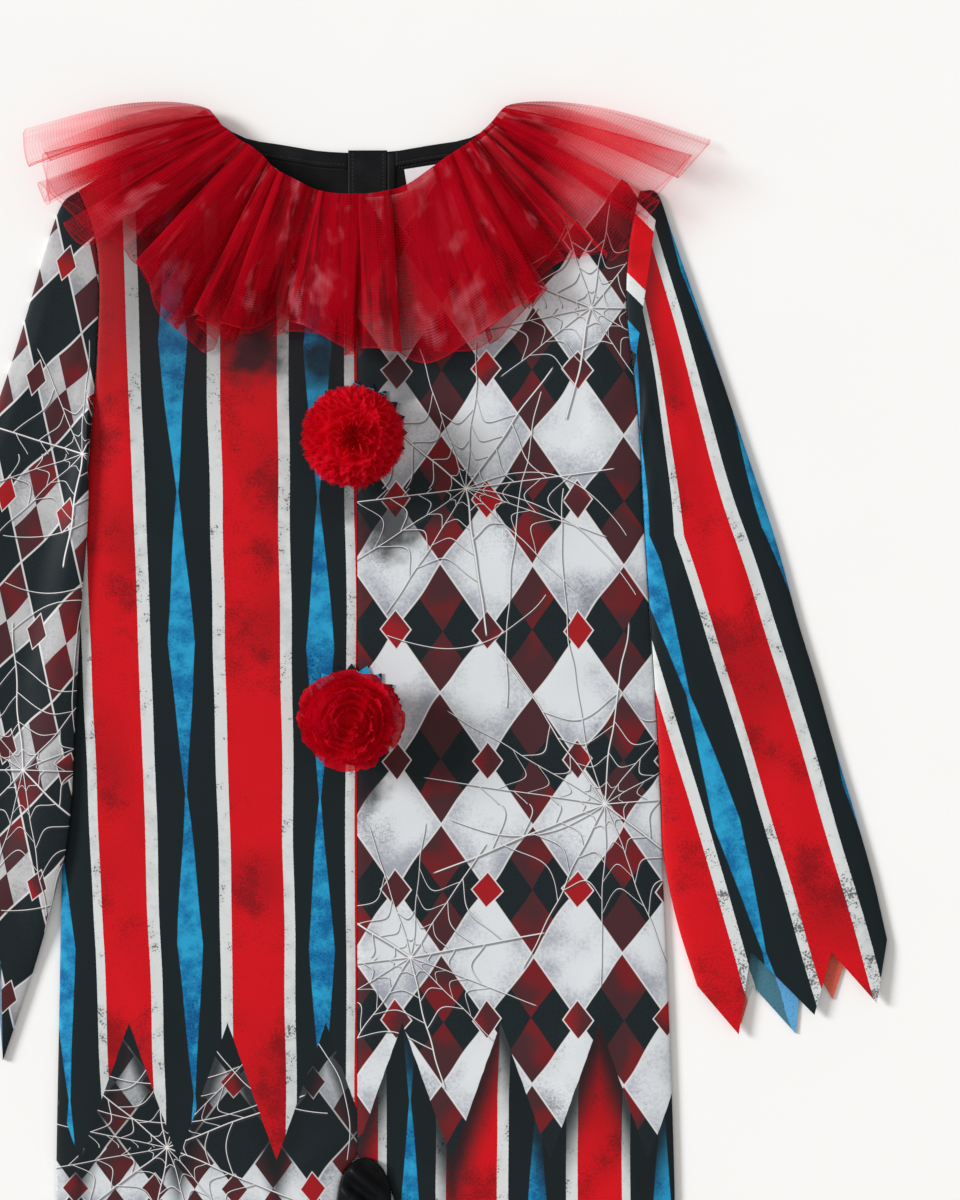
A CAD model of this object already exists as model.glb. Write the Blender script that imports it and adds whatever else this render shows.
"""Dresses the clown costume: a child's printed all-in-one, laid flat and face up.

Each sub-assembly is a class whose fields are its sizes in millimetres. X runs to the
wearer's left, Y from the hems to the shoulders and Z up from the floor.
"""

import functools
import logging
import math
from collections.abc import Callable, Sequence
from dataclasses import dataclass
from enum import Enum

import bmesh
import bpy
from bmesh.types import BMesh, BMFace, BMVert
from bpy.types import Material, Node, NodeSocket, Object
from mathutils import Euler, Matrix, Vector, noise


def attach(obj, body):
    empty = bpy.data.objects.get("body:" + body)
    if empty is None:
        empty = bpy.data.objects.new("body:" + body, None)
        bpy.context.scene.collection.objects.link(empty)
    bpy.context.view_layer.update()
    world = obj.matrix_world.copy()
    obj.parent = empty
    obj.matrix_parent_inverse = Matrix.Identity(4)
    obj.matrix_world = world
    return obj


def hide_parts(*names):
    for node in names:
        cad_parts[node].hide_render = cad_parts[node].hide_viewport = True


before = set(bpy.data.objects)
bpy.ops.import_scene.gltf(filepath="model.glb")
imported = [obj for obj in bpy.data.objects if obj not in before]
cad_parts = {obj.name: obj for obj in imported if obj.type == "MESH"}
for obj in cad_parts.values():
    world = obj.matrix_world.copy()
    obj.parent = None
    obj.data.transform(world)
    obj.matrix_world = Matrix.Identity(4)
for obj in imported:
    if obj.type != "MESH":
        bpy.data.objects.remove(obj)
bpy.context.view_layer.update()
LOG = logging.getLogger("clown_costume")

MM, METRE = 0.001, 1000
Colour = Point = tuple[float, float, float]
Pair = tuple[float, float]
Table = Sequence[Sequence[float]]


class Side(Enum):
    """The wearer's side, as the sign of its X."""

    LEFT = 1
    RIGHT = -1


class Panel(Enum):
    """Front or back, as its column in the neckline table."""

    FRONT = 1
    BACK = 2


class Print(Enum):
    """The two printed designs of the costume."""

    STRIPES = "stripes"
    HARLEQUIN = "harlequin"


WALL, SEAM, LAID, TAPE_WALL = 1.2, 0.3, 0.5, 1
BACK_NODES, FRONT_NODES = ["back_left", "back_right"], ["front_left", "front_right"]
CROTCH_Y, UNDERARM_Y, SHOULDER_TIP_Y = -98, 360, 521
NECK_HALF_WIDTH = 98

# Side edge of the body: y, x of the wearer's left edge, x of the wearer's right edge.
SIDE: Table = (
    (-578, 196, 188), (-400, 200, 190.5), (-250, 204, 193), (-125, 203.5, 193), (0, 199.5, 190.8),
    (80, 196, 189.2), (156, 193, 186), (244, 187.5, 182), (308, 183.5, 176.8), (340, 182, 172.8),
    (360, 181, 171), (400, 177.5, 167.5), (438, 172.8, 165.6), (463, 172.2, 165.2), (486, 174, 167),
    (504, 177, 171.5), (521, 181, 178.5),
)

# Inner edge of the body below the crotch: y, x of the left leg, x of the right leg.
INSEAM: Table = (
    (-578, 40, 34), (-300, 30, 24), (-150, 25, 15), (-125, 23.5, 12.5), (-108, 14, 8.5),
    (CROTCH_Y, SEAM / 2, SEAM / 2),
)

# Neckline: distance from the centre, y of the front neckline, y of the back neckline.
NECKLINE: Table = (
    (0, 515.8, 545), (25, 518.5, 546.5), (40, 525, 549), (52, 535, 551), (60, 540.5, 552),
    (72, 548.5, 554.8), (85, 558.5, 561.5), (92, 566, 567), (NECK_HALF_WIDTH, 573, 573),
)

# Soft folds and lesser creases of the front: start x, start y, end x, end y, height, half width.
FRONT_FOLDS: Table = (
    (168, 345, 95, 285, 1.1, 13), (-158, 335, -95, 265, 1, 12), (176, 240, 120, 212, 0.8, 11),
    (-160, 60, -120, -40, 0.8, 12), (165, 30, 135, -75, 0.9, 12), (55, -60, 150, -18, 1, 12),
    (-50, -62, -140, -28, 1, 12), (38, -140, 92, -215, 1.2, 13), (-30, -145, -88, -220, 1.2, 13),
    (70, -350, 150, -326, 1.1, 14), (-60, -338, -150, -362, 1.1, 14), (120, -420, 132, -565, 0.9, 15),
    (-105, -430, -118, -565, 0.9, 15), (-150, 470, -148, 330, 0.55, 7), (150, 470, 158, 320, 0.6, 8),
    (172, 400, 140, 350, 0.6, 6), (-168, 395, -135, 340, 0.5, 6), (100, 380, 60, 300, 0.45, 9),
    (-30, 140, 40, 120, 0.45, 8), (60, 180, 130, 140, 0.5, 9), (-170, 190, -120, 150, 0.5, 8),
    (10, 60, 8, -40, 0.5, 7), (175, 130, 140, 100, 0.5, 7), (15, -80, 60, -120, 0.7, 6),
    (-12, -84, -55, -120, 0.7, 6), (-175, -60, -140, -120, 0.5, 8), (180, -100, 150, -160, 0.5, 8),
    (45, -250, 60, -330, 0.6, 9), (-45, -260, -52, -330, 0.6, 9),
)


def reading(table: Table, key: float, column: int) -> float:
    """Reads a table between its rows, on a smooth curve through them.

    Args:
        table: Rows whose first number is the key, in rising order.
        key: Where to read.
        column: Which number of the row to read.

    Returns:
        The value at that key.
    """
    last = len(table) - 1
    if key <= table[0][0]:
        return table[0][column]
    if key >= table[last][0]:
        return table[last][column]
    above = next(i for i in range(1, last + 1) if key <= table[i][0])
    low, high = table[above - 1], table[above]
    span = high[0] - low[0]
    before, after = table[max(above - 2, 0)], table[min(above + 1, last)]
    leave = (high[column] - before[column]) / (high[0] - before[0]) * span
    arrive = (after[column] - low[column]) / (after[0] - low[0]) * span
    share = (key - low[0]) / span
    rise = high[column] - low[column]
    bend = (leave - rise) * (1 - share) - (arrive - rise) * share
    return low[column] + share * rise + share * (1 - share) * bend


def straight(table: Table, key: float) -> float:
    """Reads the second column of a table between its rows, on straight lines.

    Args:
        table: Rows of a key and a value.
        key: Where to read.

    Returns:
        The value at that key.
    """
    for low, high in zip(table, table[1:]):
        if key <= high[0]:
            return low[1] + (high[1] - low[1]) * (key - low[0]) / (high[0] - low[0])
    return table[-1][1]


def station(table: Table, share: float, column: int) -> Pair:
    """Reads two neighbouring columns at a share of the way down a table's rows.

    Args:
        table: Rows of places, evenly spaced along a line.
        share: From 0 at the first row to 1 at the last.
        column: The first of the two columns.

    Returns:
        The x and the y there.
    """
    place = share * (len(table) - 1)
    first = min(max(int(place), 0), len(table) - 2)
    near = range(max(first - 1, 0), min(first + 3, len(table)))
    rows = [(i, *table[i][column : column + 2]) for i in near]
    return reading(rows, place, 1), reading(rows, place, 2)


def ease(value: float) -> float:
    """Gives 0 below 0, 1 above 1 and a soft step between."""
    value = min(max(value, 0), 1)
    return value * value * (3 - 2 * value)


def rounded(distance: float, reach: float) -> float:
    """Gives the height share of a rounded edge: 0 on the edge, 1 from the reach inwards."""
    left = 1 - min(max(distance / reach, 0), 1)
    return math.sqrt(1 - left * left)


def ridge(fold: Sequence[float], x: float, y: float, scale: Pair = (1, 1)) -> float:
    """Gives the height that one soft fold adds at a point.

    Args:
        fold: Start x and y, end x and y, height and half width.
        x: Place across.
        y: Place along.
        scale: Millimetres in one unit of x and of y.

    Returns:
        The height, which fades out at the fold's ends.
    """
    x0, y0, x1, y1, height, half_width = fold
    ax, ay = (x1 - x0) * scale[0], (y1 - y0) * scale[1]
    px, py = (x - x0) * scale[0], (y - y0) * scale[1]
    length = math.hypot(ax, ay)
    along = (px * ax + py * ay) / length
    off = (px * ay - py * ax) / length
    ends = ease(along / (0.35 * length) + 0.5) * ease((length - along) / (0.35 * length) + 0.5)
    return height * ends * math.exp(-((off / half_width) ** 2))


def ripple(x: float, y: float, reach: float, seed: float = 0) -> float:
    """Gives soft uneven waves from -1 to 1, about one to every reach."""
    return noise.noise(Vector((x / reach, y / reach, seed)))


# Materials ------------------------------------------------


class Field:
    """A number that varies over the cloth, kept as a socket of a node graph."""

    def __init__(self, graph: "Graph", socket: NodeSocket) -> None:
        """Keeps the graph and the socket."""
        self.graph = graph
        self.socket = socket

    def __add__(self, other: "Field | float") -> "Field":
        """Adds."""
        return self.graph.calc("ADD", self, other)

    def __sub__(self, other: "Field | float") -> "Field":
        """Subtracts."""
        return self.graph.calc("SUBTRACT", self, other)

    def __mul__(self, other: "Field | float") -> "Field":
        """Multiplies."""
        return self.graph.calc("MULTIPLY", self, other)

    def __truediv__(self, other: "Field | float") -> "Field":
        """Divides."""
        return self.graph.calc("DIVIDE", self, other)

    def size(self) -> "Field":
        """Drops the sign."""
        return self.graph.calc("ABSOLUTE", self)

    def invert(self) -> "Field":
        """Gives one minus the value."""
        return self.graph.calc("SUBTRACT", 1, self)

    def below(self, limit: "Field | float") -> "Field":
        """Gives 1 where the value is less than the limit, else 0."""
        return self.graph.calc("LESS_THAN", self, limit)

    def soft(self, start: float, end: float) -> "Field":
        """Gives a soft step from 0 at the start to 1 at the end."""
        return self.graph.soft(self, start, end)


class Graph:
    """The node graph of one material, with short methods for what the finishes share."""

    def __init__(self, name: str, roughness: float, shine: float = 0.5) -> None:
        """Makes a material with one Principled shader.

        Args:
            name: The material's name.
            roughness: How rough the surface is all over.
            shine: How much light it throws back.
        """
        self.material = bpy.data.materials.new(name)
        self.material.use_nodes = True
        self.tree = self.material.node_tree
        self.shader = self.tree.nodes["Principled BSDF"]
        self.shader.inputs["Roughness"].default_value = roughness
        self.shader.inputs["Specular IOR Level"].default_value = shine

    def put(self, socket: NodeSocket, value: object) -> None:
        """Links a field or a socket to a socket, or sets a number or a colour on it.

        Args:
            socket: The input that takes the value.
            value: A field, a socket, a number or a colour.
        """
        if isinstance(value, Field):
            self.tree.links.new(value.socket, socket)
        elif isinstance(value, NodeSocket):
            self.tree.links.new(value, socket)
        elif isinstance(value, tuple):
            socket.default_value = (*value, 1)
        else:
            socket.default_value = value

    def node(self, kind: str, inputs: dict[str | int, object], **settings: str) -> Node:
        """Adds a node.

        Args:
            kind: Its type, less the prefix that all have.
            inputs: What its inputs take, by name or number.
            settings: Its options.

        Returns:
            The node.
        """
        made = self.tree.nodes.new("ShaderNode" + kind)
        for name, value in settings.items():
            setattr(made, name, value)
        for key, value in inputs.items():
            self.put(made.inputs[key], value)
        return made

    def calc(self, operation: str, *values: "Field | float") -> Field:
        """Works out a Math node's operation on its inputs in order."""
        return Field(self, self.node("Math", dict(enumerate(values)), operation=operation).outputs[0])

    def soft(self, value: Field, start: float, end: float) -> Field:
        """Gives a soft step of a field, from 0 at the start to 1 at the end.

        Args:
            value: The field.
            start: Where the step begins.
            end: Where it ends, which may be less than the start.

        Returns:
            The step.
        """
        limits = {"From Min": min(start, end), "From Max": max(start, end)}
        limits |= {"To Min": float(start > end), "To Max": float(start < end)}
        node = self.node("MapRange", {"Value": value, **limits}, interpolation_type="SMOOTHSTEP")
        return Field(self, node.outputs["Result"])

    def blend(self, share: "Field | float", low: object, high: object) -> NodeSocket:
        """Mixes two colours, the second by its share."""
        return self.node("Mix", {0: share, 6: low, 7: high}, data_type="RGBA").outputs[2]

    def darken(self, colour: object, share: "Field | float", tint: Colour = (0, 0, 0)) -> object:
        """Mixes a colour towards a tint by a share."""
        return self.blend(share, colour, tint)

    def ramp(self, place: Field, stops: Sequence[tuple[float, Colour]]) -> NodeSocket:
        """Gives bands of flat colour along a place from 0 to 1.

        Args:
            place: Where on the ramp.
            stops: Where each band starts, and its colour.

        Returns:
            The colour.
        """
        node = self.node("ValToRGB", {"Fac": place})
        node.color_ramp.interpolation = "CONSTANT"
        elements = node.color_ramp.elements
        while len(elements) < len(stops):
            elements.new(1)
        for element, (start, colour) in zip(elements, stops):
            element.position = start
            element.color = (*colour, 1)
        return node.outputs["Color"]

    def parts(self, kind: str, output: str, **settings: str) -> list[Field]:
        """Gives the three numbers of a source's vector.

        Args:
            kind: The source's type.
            output: Which of its outputs.
            settings: Its options.

        Returns:
            The three numbers.
        """
        source = self.node(kind, {}, **settings).outputs[output]
        return [Field(self, part) for part in self.node("SeparateXYZ", {0: source}).outputs]

    def place(self) -> tuple[Field, Field]:
        """Gives the object's own X and Y, in millimetres."""
        x, y, _ = self.parts("TexCoord", "Object")
        return x * METRE, y * METRE

    def along(self) -> tuple[Field, Field]:
        """Gives the two numbers of the piece's own UV map, in millimetres."""
        across, along, _ = self.parts("UVMap", "UV", uv_map="cloth")
        return across * METRE, along * METRE

    def joined(self, x: object, y: object) -> NodeSocket:
        """Joins two numbers to a vector."""
        return self.node("CombineXYZ", {0: x, 1: y}).outputs[0]

    def grain(self, where: object, reach: float, detail: float = 2, roughness: float = 0.5) -> Field:
        """Adds noise.

        Args:
            where: Vector in millimetres, or None for the object's own place.
            reach: Rough size of its patches in millimetres.
            detail: How many finer layers it has.
            roughness: How strong the finer layers are.

        Returns:
            The noise, from 0 to 1 and mostly near a half.
        """
        scale = 1 / reach
        if where is None:
            where = self.node("TexCoord", {}).outputs["Object"]
            scale = METRE / reach
        layers = {"Detail": detail, "Roughness": roughness}
        noisy = self.node("TexNoise", {"Vector": where, "Scale": scale, **layers})
        return Field(self, noisy.outputs["Fac"])

    def distance(self, dx: Field, dy: Field) -> Field:
        """Gives the length of a way."""
        return self.calc("SQRT", dx * dx + dy * dy)

    def most(self, *fields: Field) -> Field:
        """Gives the greatest of some fields."""
        return functools.reduce(lambda one, other: self.calc("MAXIMUM", one, other), fields)

    def wave(self, place: Field, pitch: float) -> Field:
        """Gives a wave from 0 to 1 with a pitch."""
        return self.calc("SINE", place * (math.tau / pitch)) * 0.5 + 0.5

    def relief(self, height: Field, strength: float, depth: float) -> None:
        """Adds a bump to the shader.

        Args:
            height: The relief, from 0 to 1.
            strength: How strong it looks.
            depth: Its depth in metres.
        """
        node = self.node("Bump", {"Strength": strength, "Distance": depth, "Height": height})
        self.put(self.shader.inputs["Normal"], node.outputs["Normal"])

    def done(self, colour: object) -> Material:
        """Sets the shader's colour and gives the material."""
        self.put(self.shader.inputs["Base Color"], colour)
        return self.material


WHITE: Colour = (0.645, 0.675, 0.68)
GREY_WHITE: Colour = (0.42, 0.445, 0.45)
RED: Colour = (0.6, 0.004, 0.01)
SCORCHED: Colour = (0.13, 0.004, 0.007)
INK: Colour = (0.0085, 0.0145, 0.0175)
BLUE: Colour = (0.022, 0.33, 0.585)
DEEP_BLUE: Colour = (0.003, 0.125, 0.32)
WINE: Colour = (0.165, 0.012, 0.016)
DARK_WINE: Colour = (0.062, 0.02, 0.024)
PALE: Colour = (0.68, 0.715, 0.75)
LILAC: Colour = (0.335, 0.355, 0.41)
DIM_PALE: Colour = (0.5, 0.5, 0.515)
DIM_LILAC: Colour = (0.27, 0.27, 0.3)
THREAD: Colour = (0.8, 0.785, 0.79)
REPEAT = 170.2


@dataclass(frozen=True)
class Lean:
    """How a print lies on its piece: turned about a point, and which way."""

    x: float = 0
    y: float = 0
    slope: float = 0

    def read(self, graph: Graph) -> tuple[Field, Field]:
        """Turns the object's own place.

        Args:
            graph: The material's graph.

        Returns:
            The place across and along the print, in millimetres.
        """
        x, y = graph.place()
        turn = math.atan(self.slope)
        dx, dy = x - self.x, y - self.y
        return dx * math.cos(turn) + dy * math.sin(turn), dy * math.cos(turn) - dx * math.sin(turn)


@dataclass(frozen=True)
class Web:
    """One printed cobweb: its middle, its reach, its spokes and the gap of its rings."""

    x: float
    y: float
    reach: float
    spokes: int = 11
    gap: float = 13
    turn: float = 0

    def read(self, graph: Graph, x: Field, y: Field, width: float) -> Field:
        """Draws the web's threads, with rings that sag between the spokes.

        Args:
            graph: The material's graph.
            x: Place across.
            y: Place along.
            width: Half width of the threads.

        Returns:
            1 on a thread and 0 beside it.
        """
        dx, dy = x - self.x, y - self.y
        far = graph.distance(dx, dy)
        turn = graph.calc("ARCTAN2", dy, dx) + self.turn
        uneven = graph.calc("SINE", turn * 3 + self.turn) * 0.24
        spoke = (turn * (self.spokes / math.tau)) + uneven
        phase = graph.calc("FRACT", spoke)
        to_spoke = graph.calc("MINIMUM", phase, phase.invert()) * far * (math.tau / self.spokes)
        sag = graph.calc("SINE", phase * math.pi)
        wander = graph.calc("SINE", graph.calc("FLOOR", spoke) * 2.4) * 0.12
        ring = far / (graph.calc("SUBTRACT", 1, sag * 0.2) + wander)
        step = graph.calc("POWER", ring / self.gap, 0.85)
        part = graph.calc("FRACT", step)
        to_ring = graph.calc("MINIMUM", part, part.invert()) * self.gap
        spokes = to_spoke.soft(width * 1.2, width * 0.5)
        rings = to_ring.soft(width, width * 0.35) * ring.below(self.reach * 0.78)
        torn = (wander * 4 + ring / self.reach).below(0.95)
        return graph.calc("MAXIMUM", spokes, rings * torn) * far.soft(self.reach, self.reach * 0.97)


@dataclass(frozen=True)
class Strand:
    """One printed thread that hangs between two points, and how far it sags."""

    x0: float
    y0: float
    x1: float
    y1: float
    sag: float

    def read(self, graph: Graph, x: Field, y: Field, width: float) -> Field:
        """Draws the thread.

        Args:
            graph: The material's graph.
            x: Place across.
            y: Place along.
            width: Half its width.

        Returns:
            1 on the thread and 0 beside it.
        """
        way_x, way_y = self.x1 - self.x0, self.y1 - self.y0
        length = math.hypot(way_x, way_y)
        dx, dy = x - self.x0, y - self.y0
        share = (dx * way_x + dy * way_y) / length**2
        off = (dx * way_y - dy * way_x) / length
        bow = share * share.invert() * (4 * self.sag)
        inside = (share - 0.5).size().below(0.5)
        return (off - bow).size().soft(width * 1.1, width * 0.4) * inside


@dataclass(frozen=True)
class Smudge:
    """One soft airbrushed patch of the print."""

    x: float
    y: float
    reach: float
    strength: float = 0.9

    def read(self, graph: Graph, x: Field, y: Field) -> Field:
        """Gives how dark the patch is.

        Args:
            graph: The material's graph.
            x: Place across.
            y: Place along.

        Returns:
            Its share at that place.
        """
        far = graph.distance(x - self.x, y - self.y)
        uneven = (graph.grain(graph.joined(x, y), 14, 3) - 0.5) * (self.reach * 0.9)
        return (far + uneven).soft(self.reach, self.reach * 0.25) * self.strength


TORSO_WEBS = (
    Web(70, 330, 96, 11, 13, 0.3), Web(158, 128, 118, 12, 15, 1.1), Web(34, 30, 88, 11, 12, 2),
    Web(150, 446, 74, 10, 11, 0.5), Strand(70, 330, 178, 262, -17), Strand(70, 330, 172, 300, -24),
    Strand(20, 236, 120, 262, 20), Strand(118, 392, 96, 190, 7), Strand(158, 128, 132, 330, -9),
    Strand(60, 118, 158, 128, 15),
)
LEG_WEBS = (
    Web(-122, -92, 96, 12, 12, 0.8), Web(-60, -260, 90, 12, 13, 1.7), Strand(-186, -34, -76, -40, 14),
    Strand(-186, -60, -40, -52, 20), Strand(-90, -30, -20, -70, 10), Strand(-30, -18, -6, -100, -9),
)
SLEEVE_WEBS = (
    Web(-176, 352, 74, 10, 13, 0.4), Web(-214, 150, 96, 11, 14, 1.3), Strand(-226, 300, -150, 330, 12),
    Strand(-226, 270, -150, 290, 16), Strand(-222, 238, -148, 250, -14), Strand(-168, 300, -176, 120, 9),
    Strand(-228, 60, -160, 96, 12), Strand(-200, 20, -178, 110, -7),
)
SMUDGES = (Smudge(20, 306, 30), Smudge(2, 140, 24), Smudge(26, 398, 26, 0.7))
SCORCHES = (Smudge(-66, 418, 30), Smudge(-24, 412, 26), Smudge(-14, 320, 22, 0.7))


@dataclass(frozen=True)
class Skew:
    """A leaning grid: its origin, its step across and its step along, in millimetres."""

    x: float
    y: float
    across: Pair
    along: Pair

    def read(self, x: Field, y: Field) -> tuple[Field, Field]:
        """Gives a place on the grid, in steps across and along.

        Args:
            x: Place across the object.
            y: Place along it.

        Returns:
            The steps across and along.
        """
        (ax, ay), (bx, by) = self.across, self.along
        area = ax * by - ay * bx
        dx, dy = x - self.x, y - self.y
        return (dx * by - dy * bx) / area, (dy * ax - dx * ay) / area


@dataclass(frozen=True)
class StripePrint:
    """The striped design: red, white and black bands, with blue lozenges in the black ones.

    Attributes:
        pitch: Width of one repeat of two reds and two blacks.
        chain: Length of one lozenge.
        lozenge: Half width of a lozenge at its widest.
        neck: Half width of the chain between two lozenges.
    """

    pitch: float = REPEAT
    chain: float = 193
    lozenge: float = 8.8
    neck: float = 0.5
    edges: tuple[float, ...] = (0, 5.6, 36.2, 44.1, 85.1, 92.7, 127.9, 135)
    bands: tuple[Colour, ...] = (WHITE, RED, WHITE, INK, WHITE, RED, WHITE, INK)

    def _share(self, graph: Graph, start: Field, band: Colour) -> Field:
        """Marks the bands of one colour.

        Args:
            graph: The material's graph.
            start: Place in the repeat, from 0 to 1.
            band: The colour, as it stands in the bands.

        Returns:
            1 on those bands and 0 elsewhere.
        """
        pairs = zip(self.edges, self.bands)
        stops = [(edge / self.pitch, (float(one is band),) * 3) for edge, one in pairs]
        return Field(graph, graph.ramp(start, stops))

    def colour(self, graph: Graph, across: Field, along: Field, worn: Field | float = 0) -> NodeSocket:
        """Draws the stripes, with their specks and mottling.

        Args:
            graph: The material's graph.
            across: Place across the stripes from the start of a repeat.
            along: Place along them.
            worn: How much denser the specks are, 0 for the plain print.

        Returns:
            The colour.
        """
        where = graph.joined(across, along)
        rough = (graph.grain(where, 1.1, 3, 0.7) - 0.5) * 0.8
        wander = (graph.grain(where, 70, 0) - 0.5) * 2.6
        place = across + rough + wander
        start = graph.calc("FRACT", place / self.pitch)
        stops = [(edge / self.pitch, band) for edge, band in zip(self.edges, self.bands)]
        base = graph.ramp(start, stops)

        blotch = graph.grain(where, 46, 4, 0.6)
        broad = graph.grain(where, 105, 1.5)
        specks = graph.grain(where, 1.5, 3, 0.7)
        mist = graph.grain(where, 11, 3, 0.6)
        bruise = broad.soft(0.48, 0.66) * 0.38 + (blotch + (specks - 0.5) * 0.14).soft(0.5, 0.7) * 0.4
        dots = (specks + (blotch - 0.5) * 0.8 + worn * 0.6).soft(0.5, 0.7) * 0.36
        red_share = self._share(graph, start, RED) * graph.calc("MINIMUM", bruise + dots, 0.72)
        base = graph.darken(base, red_share, SCORCHED)

        white = self._share(graph, start, WHITE)
        base = graph.blend(white * (mist + broad - 0.5).soft(0.42, 0.72) * 0.42, base, GREY_WHITE)
        dust = (specks + (mist + blotch - 1) * 0.8 + worn).soft(0.66, 0.72)
        base = graph.darken(base, white * dust * 0.8, (0.035, 0.035, 0.04))

        first = self._chain(graph, place, along, 64.6, 0.5)
        second = self._chain(graph, place + across.below(0) * 6, along, 153.6, 0.52)
        tone = (mist + blotch) * 0.5 + (specks - 0.5) * 0.22
        blue = graph.blend(tone.soft(0.38, 0.62), BLUE, DEEP_BLUE)
        soot = (specks + (blotch - 0.5) * 0.8).soft(0.6, 0.7) * 0.55
        blue = graph.darken(blue, soot, (0.003, 0.035, 0.11))
        return graph.blend(graph.calc("MAXIMUM", first, second), base, blue)

    def _chain(self, graph: Graph, place: Field, along: Field, middle: float, lag: float) -> Field:
        """Draws one chain of lozenges down the middle of a black band.

        Args:
            graph: The material's graph.
            place: Place across the stripes.
            along: Place along them.
            middle: Where the chain runs, from the start of the repeat.
            lag: How far the chain is moved along, in lozenges.

        Returns:
            1 on a lozenge and 0 beside it.
        """
        off = (graph.calc("FRACT", (place - middle) / self.pitch + 0.5) - 0.5).size() * self.pitch
        step = (graph.calc("FRACT", (along - 38.4) / self.chain + lag) - 0.5).size() * 2
        width = graph.calc("POWER", step.invert(), 0.92) * (self.lozenge - self.neck) + self.neck
        return (off - width).soft(0.35, -0.35)


@dataclass(frozen=True)
class HarlequinPrint:
    """The harlequin design: plain lozenges between quartered ones, with small ones at the tips.

    Attributes:
        dark: Whether the plain lozenges are black and the quarters pale, or the other way round.
        dim: Whether its pale is the duller one of the sleeve.
    """

    width: float = 58.2
    height: float = 83.2
    dark: bool = False
    dim: bool = False
    webs: tuple[Web | Strand, ...] = ()

    def colour(self, graph: Graph, a: Field, b: Field) -> NodeSocket:
        """Draws the lozenges.

        Args:
            graph: The material's graph.
            a: Place across from the middle of a plain lozenge, in lozenges.
            b: Place along from the middle of a plain lozenge, in lozenges.

        Returns:
            The colour.
        """
        across, along = a * self.width, b * self.height
        where = graph.joined(across, along)
        bend = (graph.grain(where, 34, 0) - 0.5) * 0.07
        a, b = a + bend, b - bend
        p, q = a + b, a - b
        near_p, near_q = graph.calc("ROUND", p), graph.calc("ROUND", q)
        odd = graph.calc("FRACT", (near_p + near_q) * 0.5).soft(0.2, 0.3)
        dp, dq = p - near_p, q - near_q
        upright = (dp * dq).below(0)
        edge = graph.calc("MAXIMUM", dp.size(), dq.size())
        to_edge = (edge * -1 + 0.5) * (self.width * 0.82)

        cloud = graph.grain(where, 36, 2, 0.5)
        fine = graph.grain(where, 1.3, 3, 0.7)
        hollow = to_edge.soft(15, 0) * 0.32
        stipple = graph.grain(where, 2.6, 4, 0.75)
        shade = hollow + (dq - dp) * 0.4 + (cloud - 0.5) * 2
        shade = shade + (fine - 0.5) * 0.22 + (stipple - 0.5) * 1.1
        light, grey = (DIM_PALE, DIM_LILAC) if self.dim else (PALE, LILAC)
        pale = graph.blend(shade.soft(-0.1, 0.85), light, grey)
        smoke = graph.grain(where, 52, 2, 0.5) + (fine - 0.5) * 0.16 + hollow * 0.12
        soot = (smoke + (stipple - 0.5) * 0.3).soft(0.6, 0.86) * 0.75
        pale = graph.darken(pale, soot, (0.1, 0.105, 0.125))
        tone = graph.grain(where, 44, 1.5, 0.5) + (fine - 0.5) * 0.22 + (dp + dq) * 0.1
        wine = graph.blend(tone.soft(0.64, 0.46), WINE, DARK_WINE)
        ink = graph.blend(fine.soft(0.35, 0.75), INK, (0.014, 0.021, 0.025))
        plain, quarter = (ink, pale) if self.dark else (pale, ink)
        base = graph.blend(odd, plain, graph.blend(upright, quarter, wine))
        base = graph.blend(to_edge.soft(0.72, 0.36) * 0.85, base, (0.72, 0.72, 0.73))

        small_x = graph.calc("WRAP", a, 0.5, -0.5) * self.width
        small_y = graph.calc("WRAP", b + 0.5, 0.5, -0.5) * self.height
        small = small_x.size() / (self.width * 0.155) + small_y.size() / (self.height * 0.138)
        mood = graph.grain(where, 60, 0) + (fine - 0.5) * 0.16
        bead = graph.blend(mood.soft(0.46, 0.6), (0.075, 0.018, 0.022), (0.33, 0.01, 0.014))
        base = graph.blend(small.soft(1.16, 1.1), base, (0.7, 0.67, 0.68))
        return graph.blend(small.soft(1.05, 0.99), base, bead)

    def webbed(self, graph: Graph, base: object, x: Field, y: Field) -> object:
        """Lays the cobwebs over a colour, each thread with a soft shadow.

        Args:
            graph: The material's graph.
            base: The colour under them.
            x: Place across the object.
            y: Place along it.

        Returns:
            The colour with the webs.
        """
        if not self.webs:
            return base
        drawn = x + (graph.grain(graph.joined(x, y), 30, 0) - 0.5) * 5
        threads = graph.most(*(web.read(graph, drawn, y, 0.31) for web in self.webs))
        shadow = graph.most(*(web.read(graph, drawn - 0.6, y + 0.8, 0.85) for web in self.webs))
        base = graph.darken(base, shadow * 0.66, (0.035, 0.03, 0.04))
        return graph.blend(threads * 0.96, base, THREAD)


@dataclass(frozen=True)
class PolyesterKnit:
    """The smooth satiny knit that all the cloth is made of."""

    name: str
    roughness: float = 0.52
    shine: float = 0.12
    ribs: float = 0.55

    def start(self) -> Graph:
        """Makes the material, with its fine ribs and courses.

        Returns:
            Its graph.
        """
        graph = Graph(self.name, self.roughness, self.shine)
        x, y = graph.place()
        ribs = graph.calc("SINE", x * (math.tau / self.ribs))
        courses = graph.calc("SINE", y * (math.tau / (self.ribs * 1.3)))
        graph.relief((ribs + courses) * 0.25 + 0.5, 0.25, 0.00012)
        return graph


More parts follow.
